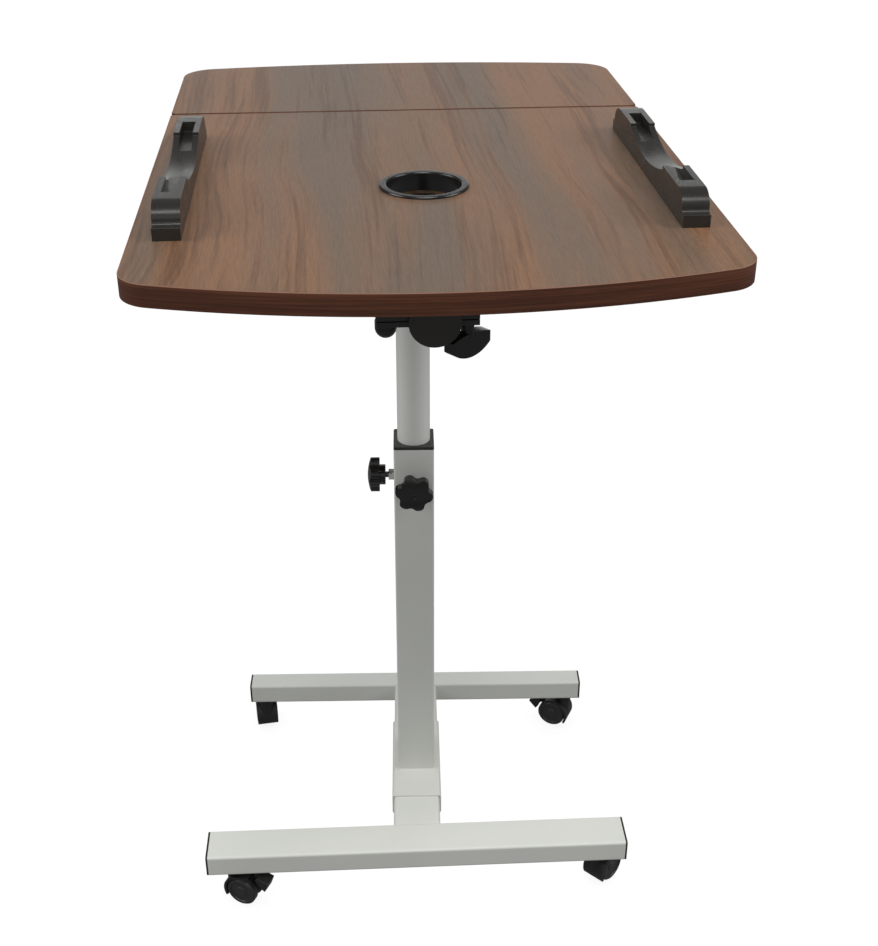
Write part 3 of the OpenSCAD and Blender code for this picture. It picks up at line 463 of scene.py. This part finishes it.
def grip_plastic(sizes, colours):
    """Smoother black of the knobs, the handle and the grommet."""
    return moulded("grip_plastic", colours.grip, 0.00004, 0.22)


def caster_plastic(sizes, colours):
    """Black nylon of the caster hoods."""
    return moulded("caster_plastic", colours.caster, 0.00006, 0.42)


def wheel_plastic(sizes, colours):
    """Black nylon of the wheels, lightened with a painted reflection of the floor."""
    return moulded("wheel_plastic", colours.wheel_with_painted_reflection, 0.00006, 0.36, 0.16)


def zinc_steel(sizes, colours):
    """Bright zinc plate with fine turning marks and cloudy passivation."""
    m = Material("zinc_steel")
    turned = m.noise(m.place((300, 300, 4200)), detail=2)
    cloud = m.noise(m.place((130, 130, 130)), detail=3)
    tone = m.blend(
        1, tuple(colours.steel), m.between(cloud, 0.3, 0.7, 0.86, 1.05), "MULTIPLY"
    )
    return m.finish(
        Base_Color=tone, Metallic=1.0, Roughness=m.between(turned, 0.3, 0.7, 0.2, 0.34),
        Normal=m.bump(turned, 0.00002, 0.5),
    )


MAKERS = (
    wood_laminate, board_core, board_backing, edge_band, powder_coat, black_plastic,
    black_casting, grip_plastic, caster_plastic, wheel_plastic, zinc_steel,
)
BOARD_FINISHES = ("wood_laminate", "board_core", "board_backing")


def finish_named(name):
    """The material of that name, made when it is first asked for."""
    if PREFIX + name not in bpy.data.materials:
        maker = next(m for m in MAKERS if m.__name__ == name)
        maker(bpy.context.scene.desk_sizes, bpy.context.scene.desk_colours)
    return bpy.data.materials[PREFIX + name]


def coat_nodes(finish, *nodes):
    """Frame nodes that keep their shape get their finish."""
    for node in nodes:
        slots = NODES[node].data.materials
        slots.clear()
        slots.append(finish_named(finish))


def seat(piece, finish, *nodes):
    """A finished piece stands for its frame nodes and rides on their body."""
    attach(piece, BODY_OF[nodes[0]])
    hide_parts(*nodes)
    return piece


def merged_copy(node):
    """The node's solid as one joined mesh, its flat faces whole again."""
    made = bmesh.new()
    made.from_mesh(NODES[node].data)
    bmesh.ops.remove_doubles(made, verts=made.verts, dist=2e-6)
    bmesh.ops.dissolve_limit(
        made, angle_limit=math.radians(0.1), verts=made.verts, edges=made.edges
    )
    return made


def as_object(made, name):
    """A bmesh as a linked object at the origin."""
    mesh = bpy.data.meshes.new(name)
    made.to_mesh(mesh)
    made.free()
    piece = bpy.data.objects.new(name, mesh)
    bpy.context.scene.collection.objects.link(piece)
    return piece


def settled(piece):
    """The piece with its modifiers worked into its mesh."""
    bpy.context.view_layer.update()
    view = bpy.context.evaluated_depsgraph_get()
    solid = bpy.data.meshes.new_from_object(piece.evaluated_get(view))
    piece.modifiers.clear()
    piece.data = solid
    return piece


def smooth(piece, crease=CREASE):
    """Shades the piece smooth, but for edges that turn more than the crease."""
    piece.data.shade_smooth()
    piece.data.set_sharp_from_angle(angle=crease)


def rounded(piece, radius):
    """Rounds the piece's edges with that radius, and shades it smooth between them."""
    bevel = piece.modifiers.new("edges", "BEVEL")
    bevel.width = radius
    bevel.segments = ROUND_STEPS
    bevel.limit_method = "ANGLE"
    bevel.angle_limit = CREASE
    bevel.miter_outer = "MITER_ARC"
    settled(piece)
    smooth(piece)
    even = piece.modifiers.new("shading", "WEIGHTED_NORMAL")
    even.keep_sharp = True
    return settled(piece)


def painted(piece, finish):
    """The piece in one finish all over."""
    piece.data.materials.clear()
    piece.data.materials.append(finish_named(finish))
    return piece


def dress(node, finish, radius):
    """A frame node's solid with its edges rounded, in its finish."""
    piece = as_object(merged_copy(node), node + "_dressed")
    return seat(painted(rounded(piece, radius), finish), finish, node)


class Operation(bpy.types.Operator):
    """Shared settings of the desk's operators."""

    bl_options = {"REGISTER", "UNDO"}

    @property
    def sizes(self):
        return bpy.context.scene.desk_sizes


def in_top_axes(node, turn):
    """Lowest and highest corner of a node in the turned top's own axes."""
    back = Matrix.Rotation(-turn, 4, "Z")
    points = [back @ v.co for v in NODES[node].data.vertices]
    low = Vector([min(p[axis] for p in points) for axis in range(3)])
    high = Vector([max(p[axis] for p in points) for axis in range(3)])
    return low, high


def arc(centre, radius, start, end, steps):
    """Points on an arc after its first one."""
    return [
        Vector(centre) + radius * Vector((math.cos(a), math.sin(a)))
        for a in (start + (end - start) * i / steps for i in range(1, steps + 1))
    ]


def panel_outline(half_width, gap_y, end_y, bow, end_corner, gap_corner, inset):
    """One panel seen from above: straight at the gap, bowed and rounded at its outer end."""
    outward = -1 if end_y < gap_y else 1
    gap_y, end_y = -outward * gap_y, -outward * end_y
    bow_radius = (half_width ** 2 + bow ** 2) / (2 * bow)
    bow_centre = Vector((0, end_y + bow_radius))
    corner_x = half_width - end_corner
    reach = math.sqrt((bow_radius - end_corner) ** 2 - corner_x ** 2)
    corner = Vector((corner_x, bow_centre.y - reach))
    turn = math.atan2(corner.y - bow_centre.y, corner.x)
    gap_centre = (half_width - gap_corner, gap_y - gap_corner)
    quarter = math.pi / 2
    right = [Vector((0, end_y + inset))]
    right += arc(bow_centre, bow_radius - inset, -quarter, turn, steps=32)
    right += arc(corner, end_corner - inset, turn, 0, steps=20)
    right += arc(gap_centre, gap_corner - inset, 0, quarter, steps=10)
    left = [Vector((-p.x, p.y)) for p in reversed(right[1:])]
    return [Vector((p.x, -outward * p.y)) for p in right + left]


def modelling_tree(name, inputs):
    """A geometry tree with named inputs, and the wires that leave them."""
    group = bpy.data.node_groups.new(name, "GeometryNodeTree")
    for label, kind in inputs.items():
        group.interface.new_socket(label, in_out="INPUT", socket_type="NodeSocket" + kind)
    group.interface.new_socket("Geometry", in_out="OUTPUT", socket_type="NodeSocketGeometry")
    t = Tree(group)
    given = group.nodes.new("NodeGroupInput")
    return t, {socket.name: Wire(t, socket) for socket in given.outputs if socket.name}


def closed_tree(t, shape, finish):
    """The tree with its instances made real and its finish set."""
    real = t.node("GeometryNodeRealizeInstances", None, {"Geometry": shape})
    dressed = t.node("GeometryNodeSetMaterial", None, {"Geometry": real, "Material": finish})
    t.node("NodeGroupOutput", None, {"Geometry": dressed})
    return t.tree


def band_tree():
    """Sweeps a strip with rounded edges along a closed outline."""
    t, source = modelling_tree("edge_band_sweep", {
        "Outline": "Geometry", "Thickness": "Float", "Height": "Float", "Rounding": "Float",
        "Finish": "Material",
    })
    strip = t.node(
        "GeometryNodeCurvePrimitiveQuadrilateral", {"mode": "RECTANGLE"},
        {"Width": source["Thickness"], "Height": source["Height"]},
    )
    soft = t.node(
        "GeometryNodeFilletCurve", {"mode": "POLY"},
        {"Curve": strip, "Count": 4, "Radius": source["Rounding"]},
    )
    line = t.node("GeometryNodeMeshToCurve", None, {"Mesh": source["Outline"]})
    upright = t.node("GeometryNodeSetCurveNormal", {"mode": "Z_UP"}, {"Curve": line})
    swept = t.node(
        "GeometryNodeCurveToMesh", None, {"Curve": upright, "Profile Curve": soft}
    )
    return closed_tree(t, swept, source["Finish"])


def recess_tree():
    """Cuts a cross into each screw head, one cutter per marked head."""
    t, source = modelling_tree("cross_recesses", {
        "Screws": "Geometry", "Heads": "Object", "Reach": "Float", "Width": "Float",
        "Depth": "Float", "Finish": "Material",
    })
    long_side = source["Reach"] * 2
    deep = source["Depth"] * 2
    arms = [
        t.node("GeometryNodeMeshCube", None, {
            "Size": t.node("ShaderNodeCombineXYZ", None, {"X": across, "Y": along, "Z": deep})
        })
        for across, along in ((long_side, source["Width"]), (source["Width"], long_side))
    ]
    cross = t.node(
        "GeometryNodeMeshBoolean", {"operation": "UNION", "solver": "EXACT"}, {"Mesh 2": arms}
    )
    marks = t.node(
        "GeometryNodeObjectInfo", {"transform_space": "ORIGINAL"},
        {"Object": source["Heads"]}, out="Geometry",
    )
    into = t.node(
        "GeometryNodeInputNamedAttribute", {"data_type": "FLOAT_VECTOR"}, {"Name": "into"}
    )
    facing = t.node("FunctionNodeAlignRotationToVector", {"axis": "Z"}, {"Vector": into})
    cutters = t.node(
        "GeometryNodeInstanceOnPoints", None,
        {"Points": marks, "Instance": cross, "Rotation": facing},
    )
    solid = t.node("GeometryNodeRealizeInstances", None, {"Geometry": cutters})
    cut_out = t.node(
        "GeometryNodeMeshBoolean", {"operation": "DIFFERENCE", "solver": "EXACT"},
        {"Mesh 1": source["Screws"], "Mesh 2": [solid]},
    )
    return closed_tree(t, cut_out, source["Finish"])


def thread_tree():
    """A threaded rod: a grid rolled up, its radius a wave along a helix.

    The first and the last row shrink to a point and close the rod's ends.
    """
    t, source = modelling_tree("threaded_rod", {
        "Radius": "Float", "Depth": "Float", "Pitch": "Float", "Length": "Float",
        "Sides": "Int", "Rows": "Int", "Finish": "Material",
    })
    grid = t.node("GeometryNodeMeshGrid", None, {
        "Size X": 1, "Size Y": 1,
        "Vertices X": source["Sides"] + 1, "Vertices Y": source["Rows"],
    })
    spot = t.node("GeometryNodeInputPosition")
    around = t.part(spot, "X") + 0.5
    row = (t.part(spot, "Y") + 0.5) * (source["Rows"] - 1)
    share = t.node("ShaderNodeClamp", None, {0: (row - 1) / (source["Rows"] - 3), 1: 0, 2: 1})
    height = share * source["Length"]
    wave = t.maths("FRACT", height / source["Pitch"] - around)
    groove = source["Depth"] * t.maths("ABSOLUTE", wave * 2 - 1)
    past_first = t.maths("GREATER_THAN", row, 0.5)
    before_last = t.maths("LESS_THAN", row, source["Rows"] - 1.5)
    radius = (source["Radius"] - groove) * past_first * before_last
    turned = around * (2 * math.pi)
    rolled = t.node("ShaderNodeCombineXYZ", None, {
        "X": radius * t.maths("COSINE", turned), "Y": radius * t.maths("SINE", turned),
        "Z": height,
    })
    moved = t.node("GeometryNodeSetPosition", None, {"Geometry": grid, "Position": rolled})
    joined = t.node("GeometryNodeMergeByDistance", None, {"Geometry": moved, "Distance": 1e-6})
    return closed_tree(t, joined, source["Finish"])


def run_tree(piece, group, inputs):
    """Runs a geometry tree on a piece with its named inputs, and keeps the plain mesh."""
    modifier = piece.modifiers.new(group.name, "NODES")
    modifier.node_group = group
    for item in group.interface.items_tree:
        if item.item_type == "SOCKET" and item.in_out == "INPUT" and item.name in inputs:
            modifier[item.identifier] = inputs[item.name]
    return settled(piece)


def flat_loop(name, points, z, turn):
    """A closed outline of edges at height z, turned with the top."""
    made = bmesh.new()
    about = Matrix.Rotation(turn, 4, "Z")
    verts = [made.verts.new(about @ Vector((p.x, p.y, z))) for p in points]
    for first, second in zip(verts, verts[1:] + verts[:1]):
        made.edges.new((first, second))
    return as_object(made, name)


def board_finish(normal):
    """Which of a board's three finishes a face that looks that way has."""
    if abs(normal.z) < FLAT_FACE:
        return BOARD_FINISHES.index("board_core")
    return BOARD_FINISHES.index("wood_laminate" if normal.z > 0 else "board_backing")


class DESK_OT_boards(Operation):
    """Laminate, core and backing of both boards"""

    bl_idname = "desk.boards"
    bl_label = "Boards"

    def execute(self, context):
        for node in ("main_panel", "side_shelf"):
            piece = as_object(merged_copy(node), node + "_board")
            piece.data.materials.clear()
            for finish in BOARD_FINISHES:
                piece.data.materials.append(finish_named(finish))
            for face in piece.data.polygons:
                face.material_index = board_finish(face.normal)
            smooth(piece, math.radians(30))
            seat(piece, "wood_laminate", node)
        return {"FINISHED"}


class DESK_OT_edge_bands(Operation):
    """Edge band swept round both boards"""

    bl_idname = "desk.edge_bands"
    bl_label = "Edge Bands"

    def execute(self, context):
        s = self.sizes
        near_low, near_high = in_top_axes("main_panel_band", s.top_turn)
        far_low, far_high = in_top_axes("side_shelf_band", s.top_turn)
        rows = (
            ("main_panel_band", near_high.y, near_low.y, s.near_bow, s.near_corner),
            ("side_shelf_band", far_low.y, far_high.y, s.far_bow, s.far_corner),
        )
        tree = band_tree()
        for node, gap_y, end_y, bow, corner in rows:
            points = panel_outline(
                near_high.x, gap_y, end_y, bow, corner, s.gap_corner, BAND_INSET * s.band
            )
            middle = (near_low.z + near_high.z) / 2
            piece = flat_loop(node + "_strip", points, middle, s.top_turn)
            run_tree(piece, tree, {
                "Thickness": s.band, "Height": near_high.z - near_low.z,
                "Rounding": s.band_round * BAND_FILLET, "Finish": finish_named("edge_band"),
            })
            made = bmesh.new()
            made.from_mesh(piece.data)
            bmesh.ops.recalc_face_normals(made, faces=made.faces)
            made.to_mesh(piece.data)
            made.free()
            smooth(piece, math.radians(60))
            seat(piece, "edge_band", node)
        return {"FINISHED"}


def stop_outline(s):
    """Side view of a stop from its near end, as pairs of length and height."""
    fillet_radius = s.stop_foot * STOP_FILLET
    face_foot = s.stop_foot + fillet_radius
    rise = s.stop_height - face_foot
    quarter = math.pi / 2

    def end_face(run):
        """From the floor up over one foot and its rounded face to the flat top."""
        fillet = arc((fillet_radius, face_foot), fillet_radius, -quarter, 0, steps=6)
        face = [
            Vector((2 * fillet_radius + run * (1 + p.x), face_foot + rise * p.y))
            for p in arc((0, 0), 1, math.pi, quarter, steps=14)
        ]
        foot = [Vector((0, 0)), Vector((0, s.stop_foot)), Vector((fillet_radius, s.stop_foot))]
        return foot + fillet + face

    lip = s.stop_height - fillet_radius * STOP_LIP
    chord = s.stop_length / 2 - s.stop_block
    sag = lip - s.stop_hollow
    radius = (chord ** 2 + sag ** 2) / (2 * sag)
    half_turn = math.asin(chord / radius)
    middle = (s.stop_length / 2, s.stop_hollow + radius)
    near = end_face(s.stop_near_face)
    far = [Vector((s.stop_length - p.x, p.y)) for p in reversed(end_face(s.stop_far_face))]
    hollow = [Vector((s.stop_block, s.stop_height)), Vector((s.stop_block, lip))]
    hollow += arc(middle, radius, -quarter - half_turn, -quarter + half_turn, steps=40)
    hollow.append(Vector((s.stop_length - s.stop_block, s.stop_height)))
    return near + hollow + far


def box_between(name, low, high):
    """A plain closed box for cutting."""
    made = bmesh.new()
    bmesh.ops.create_cube(made, size=1)
    for vert in made.verts:
        for axis in range(3):
            vert.co[axis] = high[axis] if vert.co[axis] > 0 else low[axis]
    return as_object(made, name)


def cut(piece, cutter):
    """The piece less the cutter, which is deleted."""
    hole = piece.modifiers.new("cut", "BOOLEAN")
    hole.operation = "DIFFERENCE"
    hole.solver = "EXACT"
    hole.object = cutter
    settled(piece)
    bpy.data.objects.remove(cutter)
    return piece


class DESK_OT_top_fittings(Operation):
    """Grommet and laptop stops on the top"""

    bl_idname = "desk.top_fittings"
    bl_label = "Grommet and Stops"

    def execute(self, context):
        dress("grommet", "grip_plastic", self.sizes.moulded_round * GROMMET_ROUND)
        for node in ("left_stop", "right_stop"):
            self.add_stop(node)
        return {"FINISHED"}

    def add_stop(self, node):
        """Two blocks with a channel between them, along one side of the main panel."""
        s = self.sizes
        low, high = in_top_axes(node, s.top_turn)
        inner_x = low.x if low.x > 0 else high.x - s.stop_width
        made = bmesh.new()
        verts = [made.verts.new((inner_x, low.y + p.x, low.z + p.y)) for p in stop_outline(s)]
        side = made.faces.new(verts)
        grown = bmesh.ops.extrude_face_region(made, geom=[side])
        moved = [item for item in grown["geom"] if isinstance(item, bmesh.types.BMVert)]
        bmesh.ops.translate(made, verts=moved, vec=(s.stop_width, 0, 0))
        bmesh.ops.recalc_face_normals(made, faces=made.faces)
        piece = as_object(made, node + "_moulded")
        channel_x = inner_x + (s.stop_width - s.stop_channel) / 2
        near_y = low.y + s.stop_block * CHANNEL_START
        far_y = low.y + s.stop_length - s.stop_block * CHANNEL_END
        cut(piece, box_between(
            "channel",
            (channel_x, near_y, low.z + s.stop_channel_floor),
            (channel_x + s.stop_channel, far_y, low.z + 2 * s.stop_height),
        ))
        piece.data.transform(Matrix.Rotation(s.top_turn, 4, "Z"))
        rounded(piece, s.moulded_round)
        seat(painted(piece, "black_plastic"), "black_plastic", node)


class DESK_OT_tilt_joint(Operation):
    """Clamp, hinge, brackets, tube and handle under the top"""

    bl_idname = "desk.tilt_joint"
    bl_label = "Tilt Joint"

    def execute(self, context):
        s = self.sizes
        for node in ("clamp_upper", "clamp_lower", "tilt_hinge", "mast_socket"):
            dress(node, "black_casting", s.cast_round)
        dress("shelf_brackets", "powder_coat", s.cast_round)
        dress("clamp_bolt", "grip_plastic", s.metal_round)
        dress("clamp_handle", "grip_plastic", s.grip_round)
        dress("tilt_tube_caps", "black_plastic", s.moulded_round)
        coat_nodes("powder_coat", "tilt_tube")
        return {"FINISHED"}


class DESK_OT_mast(Operation):
    """Mast, post, collar and star knobs"""

    bl_idname = "desk.mast"
    bl_label = "Mast and Post"

    def execute(self, context):
        s = self.sizes
        dress("post_collar", "black_plastic", s.moulded_round)
        for node in ("front_knob", "side_knob"):
            dress(node, "grip_plastic", s.grip_round)
        coat_nodes("powder_coat", "mast_tube", "square_post")
        coat_nodes("black_plastic", "mast_glide", "mast_plug")
        return {"FINISHED"}


class DESK_OT_foot(Operation):
    """Foot bars, beam, sleeve and end caps"""

    bl_idname = "desk.foot"
    bl_label = "Foot"

    def execute(self, context):
        for node in ("near_bar_caps", "far_bar_caps"):
            dress(node, "black_plastic", self.sizes.moulded_round)
        coat_nodes("powder_coat", "near_foot_bar", "far_foot_bar", "foot_beam", "beam_sleeve")
        coat_nodes("black_plastic", "beam_end_blocks")
        return {"FINISHED"}


class DESK_OT_casters(Operation):
    """Hoods, wheels, levers and axles of the four casters"""

    bl_idname = "desk.casters"
    bl_label = "Casters"

    def execute(self, context):
        s = self.sizes
        for corner in ("near_left", "near_right", "far_left", "far_right"):
            dress(corner + "_hood", "caster_plastic", s.moulded_round * HOOD_ROUND)
            dress(corner + "_wheels", "wheel_plastic", s.wheel_round)
            coat_nodes("zinc_steel", corner + "_axle")
            if corner + "_brake" in NODES:
                dress(corner + "_brake", "caster_plastic", s.moulded_round)
                coat_nodes("zinc_steel", corner + "_brake_pin")
        return {"FINISHED"}


def islands(made):
    """The faces of a bmesh in groups that hang together, in the order of the mesh."""
    met = set()
    groups = []
    for first in made.faces:
        if first in met:
            continue
        met.add(first)
        group = [first]
        for face in group:
            near = [other for edge in face.edges for other in edge.link_faces]
            fresh = [other for other in dict.fromkeys(near) if other not in met]
            met.update(fresh)
            group.extend(fresh)
        groups.append(group)
    return groups


def widest_face(faces):
    """The face with the largest area."""
    return max(faces, key=lambda face: face.calc_area())


class DESK_OT_fasteners(Operation):
    """Screws with cross recesses, threaded studs, nuts and stems"""

    bl_idname = "desk.fasteners"
    bl_label = "Fasteners"

    def execute(self, context):
        s = self.sizes
        recesses = recess_tree()
        for node in ("socket_screws", "sleeve_screws", "stop_screws", "panel_bracket_screws",
                     "shelf_bracket_screws"):
            self.add_screws(node, recesses)
        threads = thread_tree()
        for node in ("front_stud", "side_stud", "clamp_screw"):
            self.add_stud(node, threads)
        for node in ("fixed_nuts", "clamp_screw_nut", "stem_nuts"):
            dress(node, "zinc_steel", s.metal_round)
        coat_nodes("zinc_steel", "caster_stems", "bar_bolts")
        return {"FINISHED"}

    def add_screws(self, node, recesses):
        """A node's screws with rounded heads, each with a cross recess."""
        s = self.sizes
        made = merged_copy(node)
        heads = [widest_face(faces) for faces in islands(made)]
        marks = bpy.data.meshes.new("heads")
        marks.from_pydata([face.calc_center_median() for face in heads], [], [])
        into = marks.attributes.new("into", "FLOAT_VECTOR", "POINT")
        for index, face in enumerate(heads):
            into.data[index].vector = face.normal
        head_radius = math.sqrt(min(face.calc_area() for face in heads) / math.pi)
        marked = bpy.data.objects.new("heads", marks)
        bpy.context.scene.collection.objects.link(marked)
        piece = rounded(as_object(made, node + "_cut"), s.metal_round)
        run_tree(piece, recesses, {
            "Heads": marked, "Reach": RECESS_REACH * head_radius, "Width": s.recess_width,
            "Depth": s.recess_depth, "Finish": finish_named("zinc_steel"),
        })
        bpy.data.objects.remove(marked)
        seat(painted(piece, "zinc_steel"), "zinc_steel", node)

    def add_stud(self, node, threads):
        """A node's plain rod as a threaded one between the same two ends."""
        s = self.sizes
        made = merged_copy(node)
        ends = sorted(made.faces, key=lambda face: face.calc_area())[-2:]
        start, end = (face.calc_center_median() for face in ends)
        radius = math.sqrt(ends[0].calc_area() / math.pi)
        made.free()
        rod = end - start
        thread_rows = round(THREAD_ROWS_PER_TURN * rod.length / s.thread_pitch)
        piece = as_object(bmesh.new(), node + "_threaded")
        run_tree(piece, threads, {
            "Radius": radius, "Depth": s.thread_depth, "Pitch": s.thread_pitch,
            "Length": rod.length, "Sides": THREAD_SIDES, "Rows": thread_rows + 3,
            "Finish": finish_named("zinc_steel"),
        })
        turn = rod.to_track_quat("Z", "Y").to_matrix().to_4x4()
        piece.data.transform(Matrix.Translation(start) @ turn)
        smooth(piece, math.radians(40))
        seat(painted(piece, "zinc_steel"), "zinc_steel", node)


# Name, power on the stage, place, target, width, height, shade.
SOFT_BOXES = (
    ("key", "key_power", (0.2, -1.45, 3.1), (0, 0, 0.4), 1.5, 0.6, (1, 0.99, 0.97)),
    ("fill", "fill_power", (-0.5, -3.0, 1.7), (0, 0, 0.4), 2.2, 1.6, (1, 1, 0.97)),
    ("left", "side_power", (-2.2, -0.4, 1.9), (0, 0, 0.4), 1.6, 1.6, (1, 1, 1)),
    ("right", "side_power", (2.2, -0.4, 1.9), (0, 0, 0.4), 1.6, 1.6, (1, 1, 1)),
    ("back", "back_power", (0, 3.0, 1.3), (0, 0, 0.7), 2.4, 0.5, (1, 1, 1)),
    ("rear", "rear_power", (0.3, 2.6, 0.45), (0, 0, 0.4), 2.0, 0.7, (1, 1, 1)),
    ("low", "low_power", (0, -0.9, 0.03), (0, -0.4, 0.9), 1.4, 0.8, (1, 1, 1)),
)


def soft_box(name, watts, place, target, width, height, shade):
    """A soft rectangular light that faces a target and that the camera doesn't see."""
    lamp = bpy.data.lights.new(name, "AREA")
    lamp.shape = "RECTANGLE"
    lamp.size = width
    lamp.size_y = height
    lamp.energy = watts
    lamp.color = shade
    held = bpy.data.objects.new(name, lamp)
    bpy.context.scene.collection.objects.link(held)
    held.location = place
    held.rotation_euler = (Vector(target) - Vector(place)).to_track_quat("-Z", "Y").to_euler()
    held.visible_camera = False
    return held


class DESK_OT_stage(Operation):
    """Camera, lights, pale room and floor"""

    bl_idname = "desk.stage"
    bl_label = "Stage"

    def execute(self, context):
        stage = context.scene.desk_stage
        self.add_camera(stage)
        self.add_lights(stage, self.add_floor(stage))
        self.add_backdrop(stage)
        context.scene.view_settings.view_transform = "Standard"
        return {"FINISHED"}

    def add_camera(self, stage):
        """The camera of the photo."""
        eye = bpy.data.cameras.new("eye")
        eye.lens = stage.lens
        eye.sensor_width = 36
        eye.sensor_fit = "AUTO"
        held = bpy.data.objects.new("eye", eye)
        bpy.context.scene.collection.objects.link(held)
        level = Matrix.Rotation(math.pi / 2, 4, "X")
        view = (
            Matrix.Rotation(-stage.yaw, 4, "Z")
            @ Matrix.Rotation(-stage.pitch, 4, "X")
            @ level
            @ Matrix.Rotation(stage.roll, 4, "Z")
        )
        held.matrix_world = Matrix.Translation(stage.eye) @ view
        bpy.context.scene.camera = held

    def add_floor(self, stage):
        """A pale floor, whose light doesn't fall back on the desk."""
        made = bmesh.new()
        bmesh.ops.create_grid(made, x_segments=12, y_segments=12, size=stage.floor_size / 2)
        floor = as_object(made, "floor")
        m = Material("pale_floor")
        cloud = m.noise(m.place((2, 2, 1)), detail=2)
        tone = m.between(cloud, 0.3, 0.7, 0.98, 1.02)
        shade = m.blend(1, (0.92, 0.92, 0.92), tone, "MULTIPLY")
        floor.data.materials.append(m.finish(Base_Color=shade, Roughness=0.9))
        floor.visible_diffuse = False
        floor.visible_glossy = False
        return floor

    def add_backdrop(self, stage):
        """A white dome that only the camera sees."""
        made = bmesh.new()
        bmesh.ops.create_uvsphere(
            made, u_segments=48, v_segments=24, radius=stage.floor_size / 2
        )
        dome = as_object(made, "backdrop")
        dome.data.shade_smooth()
        m = Material("white_backdrop")
        dome.data.materials.append(
            m.finish(Base_Color=(0, 0, 0), Emission_Color=(1, 1, 1), Emission_Strength=1.0)
        )
        for way in ("diffuse", "glossy", "transmission", "shadow", "volume_scatter"):
            setattr(dome, "visible_" + way, False)

    def add_lights(self, stage, floor):
        """A pale room and softboxes for the desk, and an even light for the floor alone."""
        world = bpy.data.worlds.new("pale_room")
        world.use_nodes = True
        t = Tree(world.node_tree)
        light = t.node(
            "ShaderNodeBackground", None, {"Color": (1, 1, 1), "Strength": stage.room_light}
        )
        t.node("ShaderNodeOutputWorld", None, {"Surface": light})
        bpy.context.scene.world = world
        alone = bpy.data.collections.new("floor_alone")
        alone.objects.link(floor)
        others = bpy.data.collections.new("all_but_floor")
        others.objects.link(floor)
        others.collection_objects[0].light_linking.link_state = "EXCLUDE"
        for name, watts, *rest in SOFT_BOXES:
            held = soft_box(name, getattr(stage, watts), *rest)
            held.light_linking.receiver_collection = others
        even = bpy.data.lights.new("floor_light", "SUN")
        even.energy = stage.floor_light
        held = bpy.data.objects.new("floor_light", even)
        bpy.context.scene.collection.objects.link(held)
        held.light_linking.receiver_collection = alone
        held.light_linking.blocker_collection = alone


STEPS = (
    DESK_OT_stage, DESK_OT_boards, DESK_OT_edge_bands, DESK_OT_top_fittings,
    DESK_OT_tilt_joint, DESK_OT_mast, DESK_OT_foot, DESK_OT_casters, DESK_OT_fasteners,
)


class DESK_PT_panel(bpy.types.Panel):
    """The desk's sizes, colours and steps in the sidebar"""

    bl_idname = "DESK_PT_panel"
    bl_label = "Rolling Laptop Desk"
    bl_space_type = "VIEW_3D"
    bl_region_type = "UI"
    bl_category = "Laptop Desk"

    def draw(self, context):
        for group in ("desk_sizes", "desk_colours", "desk_stage"):
            box = self.layout.box()
            settings = getattr(context.scene, group)
            for name in settings.__annotations__:
                box.prop(settings, name)
        for step in STEPS:
            self.layout.operator(step.bl_idname)


CLASSES = (DeskSizes, DeskColours, DeskStage, *STEPS, DESK_PT_panel)
GROUPS = {"desk_sizes": DeskSizes, "desk_colours": DeskColours, "desk_stage": DeskStage}


def register():
    """Adds the classes and the three groups of settings on a scene."""
    for cls in CLASSES:
        bpy.utils.register_class(cls)
    for name, group in GROUPS.items():
        setattr(bpy.types.Scene, name, PointerProperty(type=group))


def unregister():
    """Takes away what register adds."""
    for name in GROUPS:
        delattr(bpy.types.Scene, name)
    for cls in reversed(CLASSES):
        bpy.utils.unregister_class(cls)


def main():
    """Registers the add-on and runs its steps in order."""
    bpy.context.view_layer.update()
    register()
    for step in STEPS:
        group, name = step.bl_idname.split(".")
        getattr(getattr(bpy.ops, group), name)()


if __name__ == "__main__":
    main()
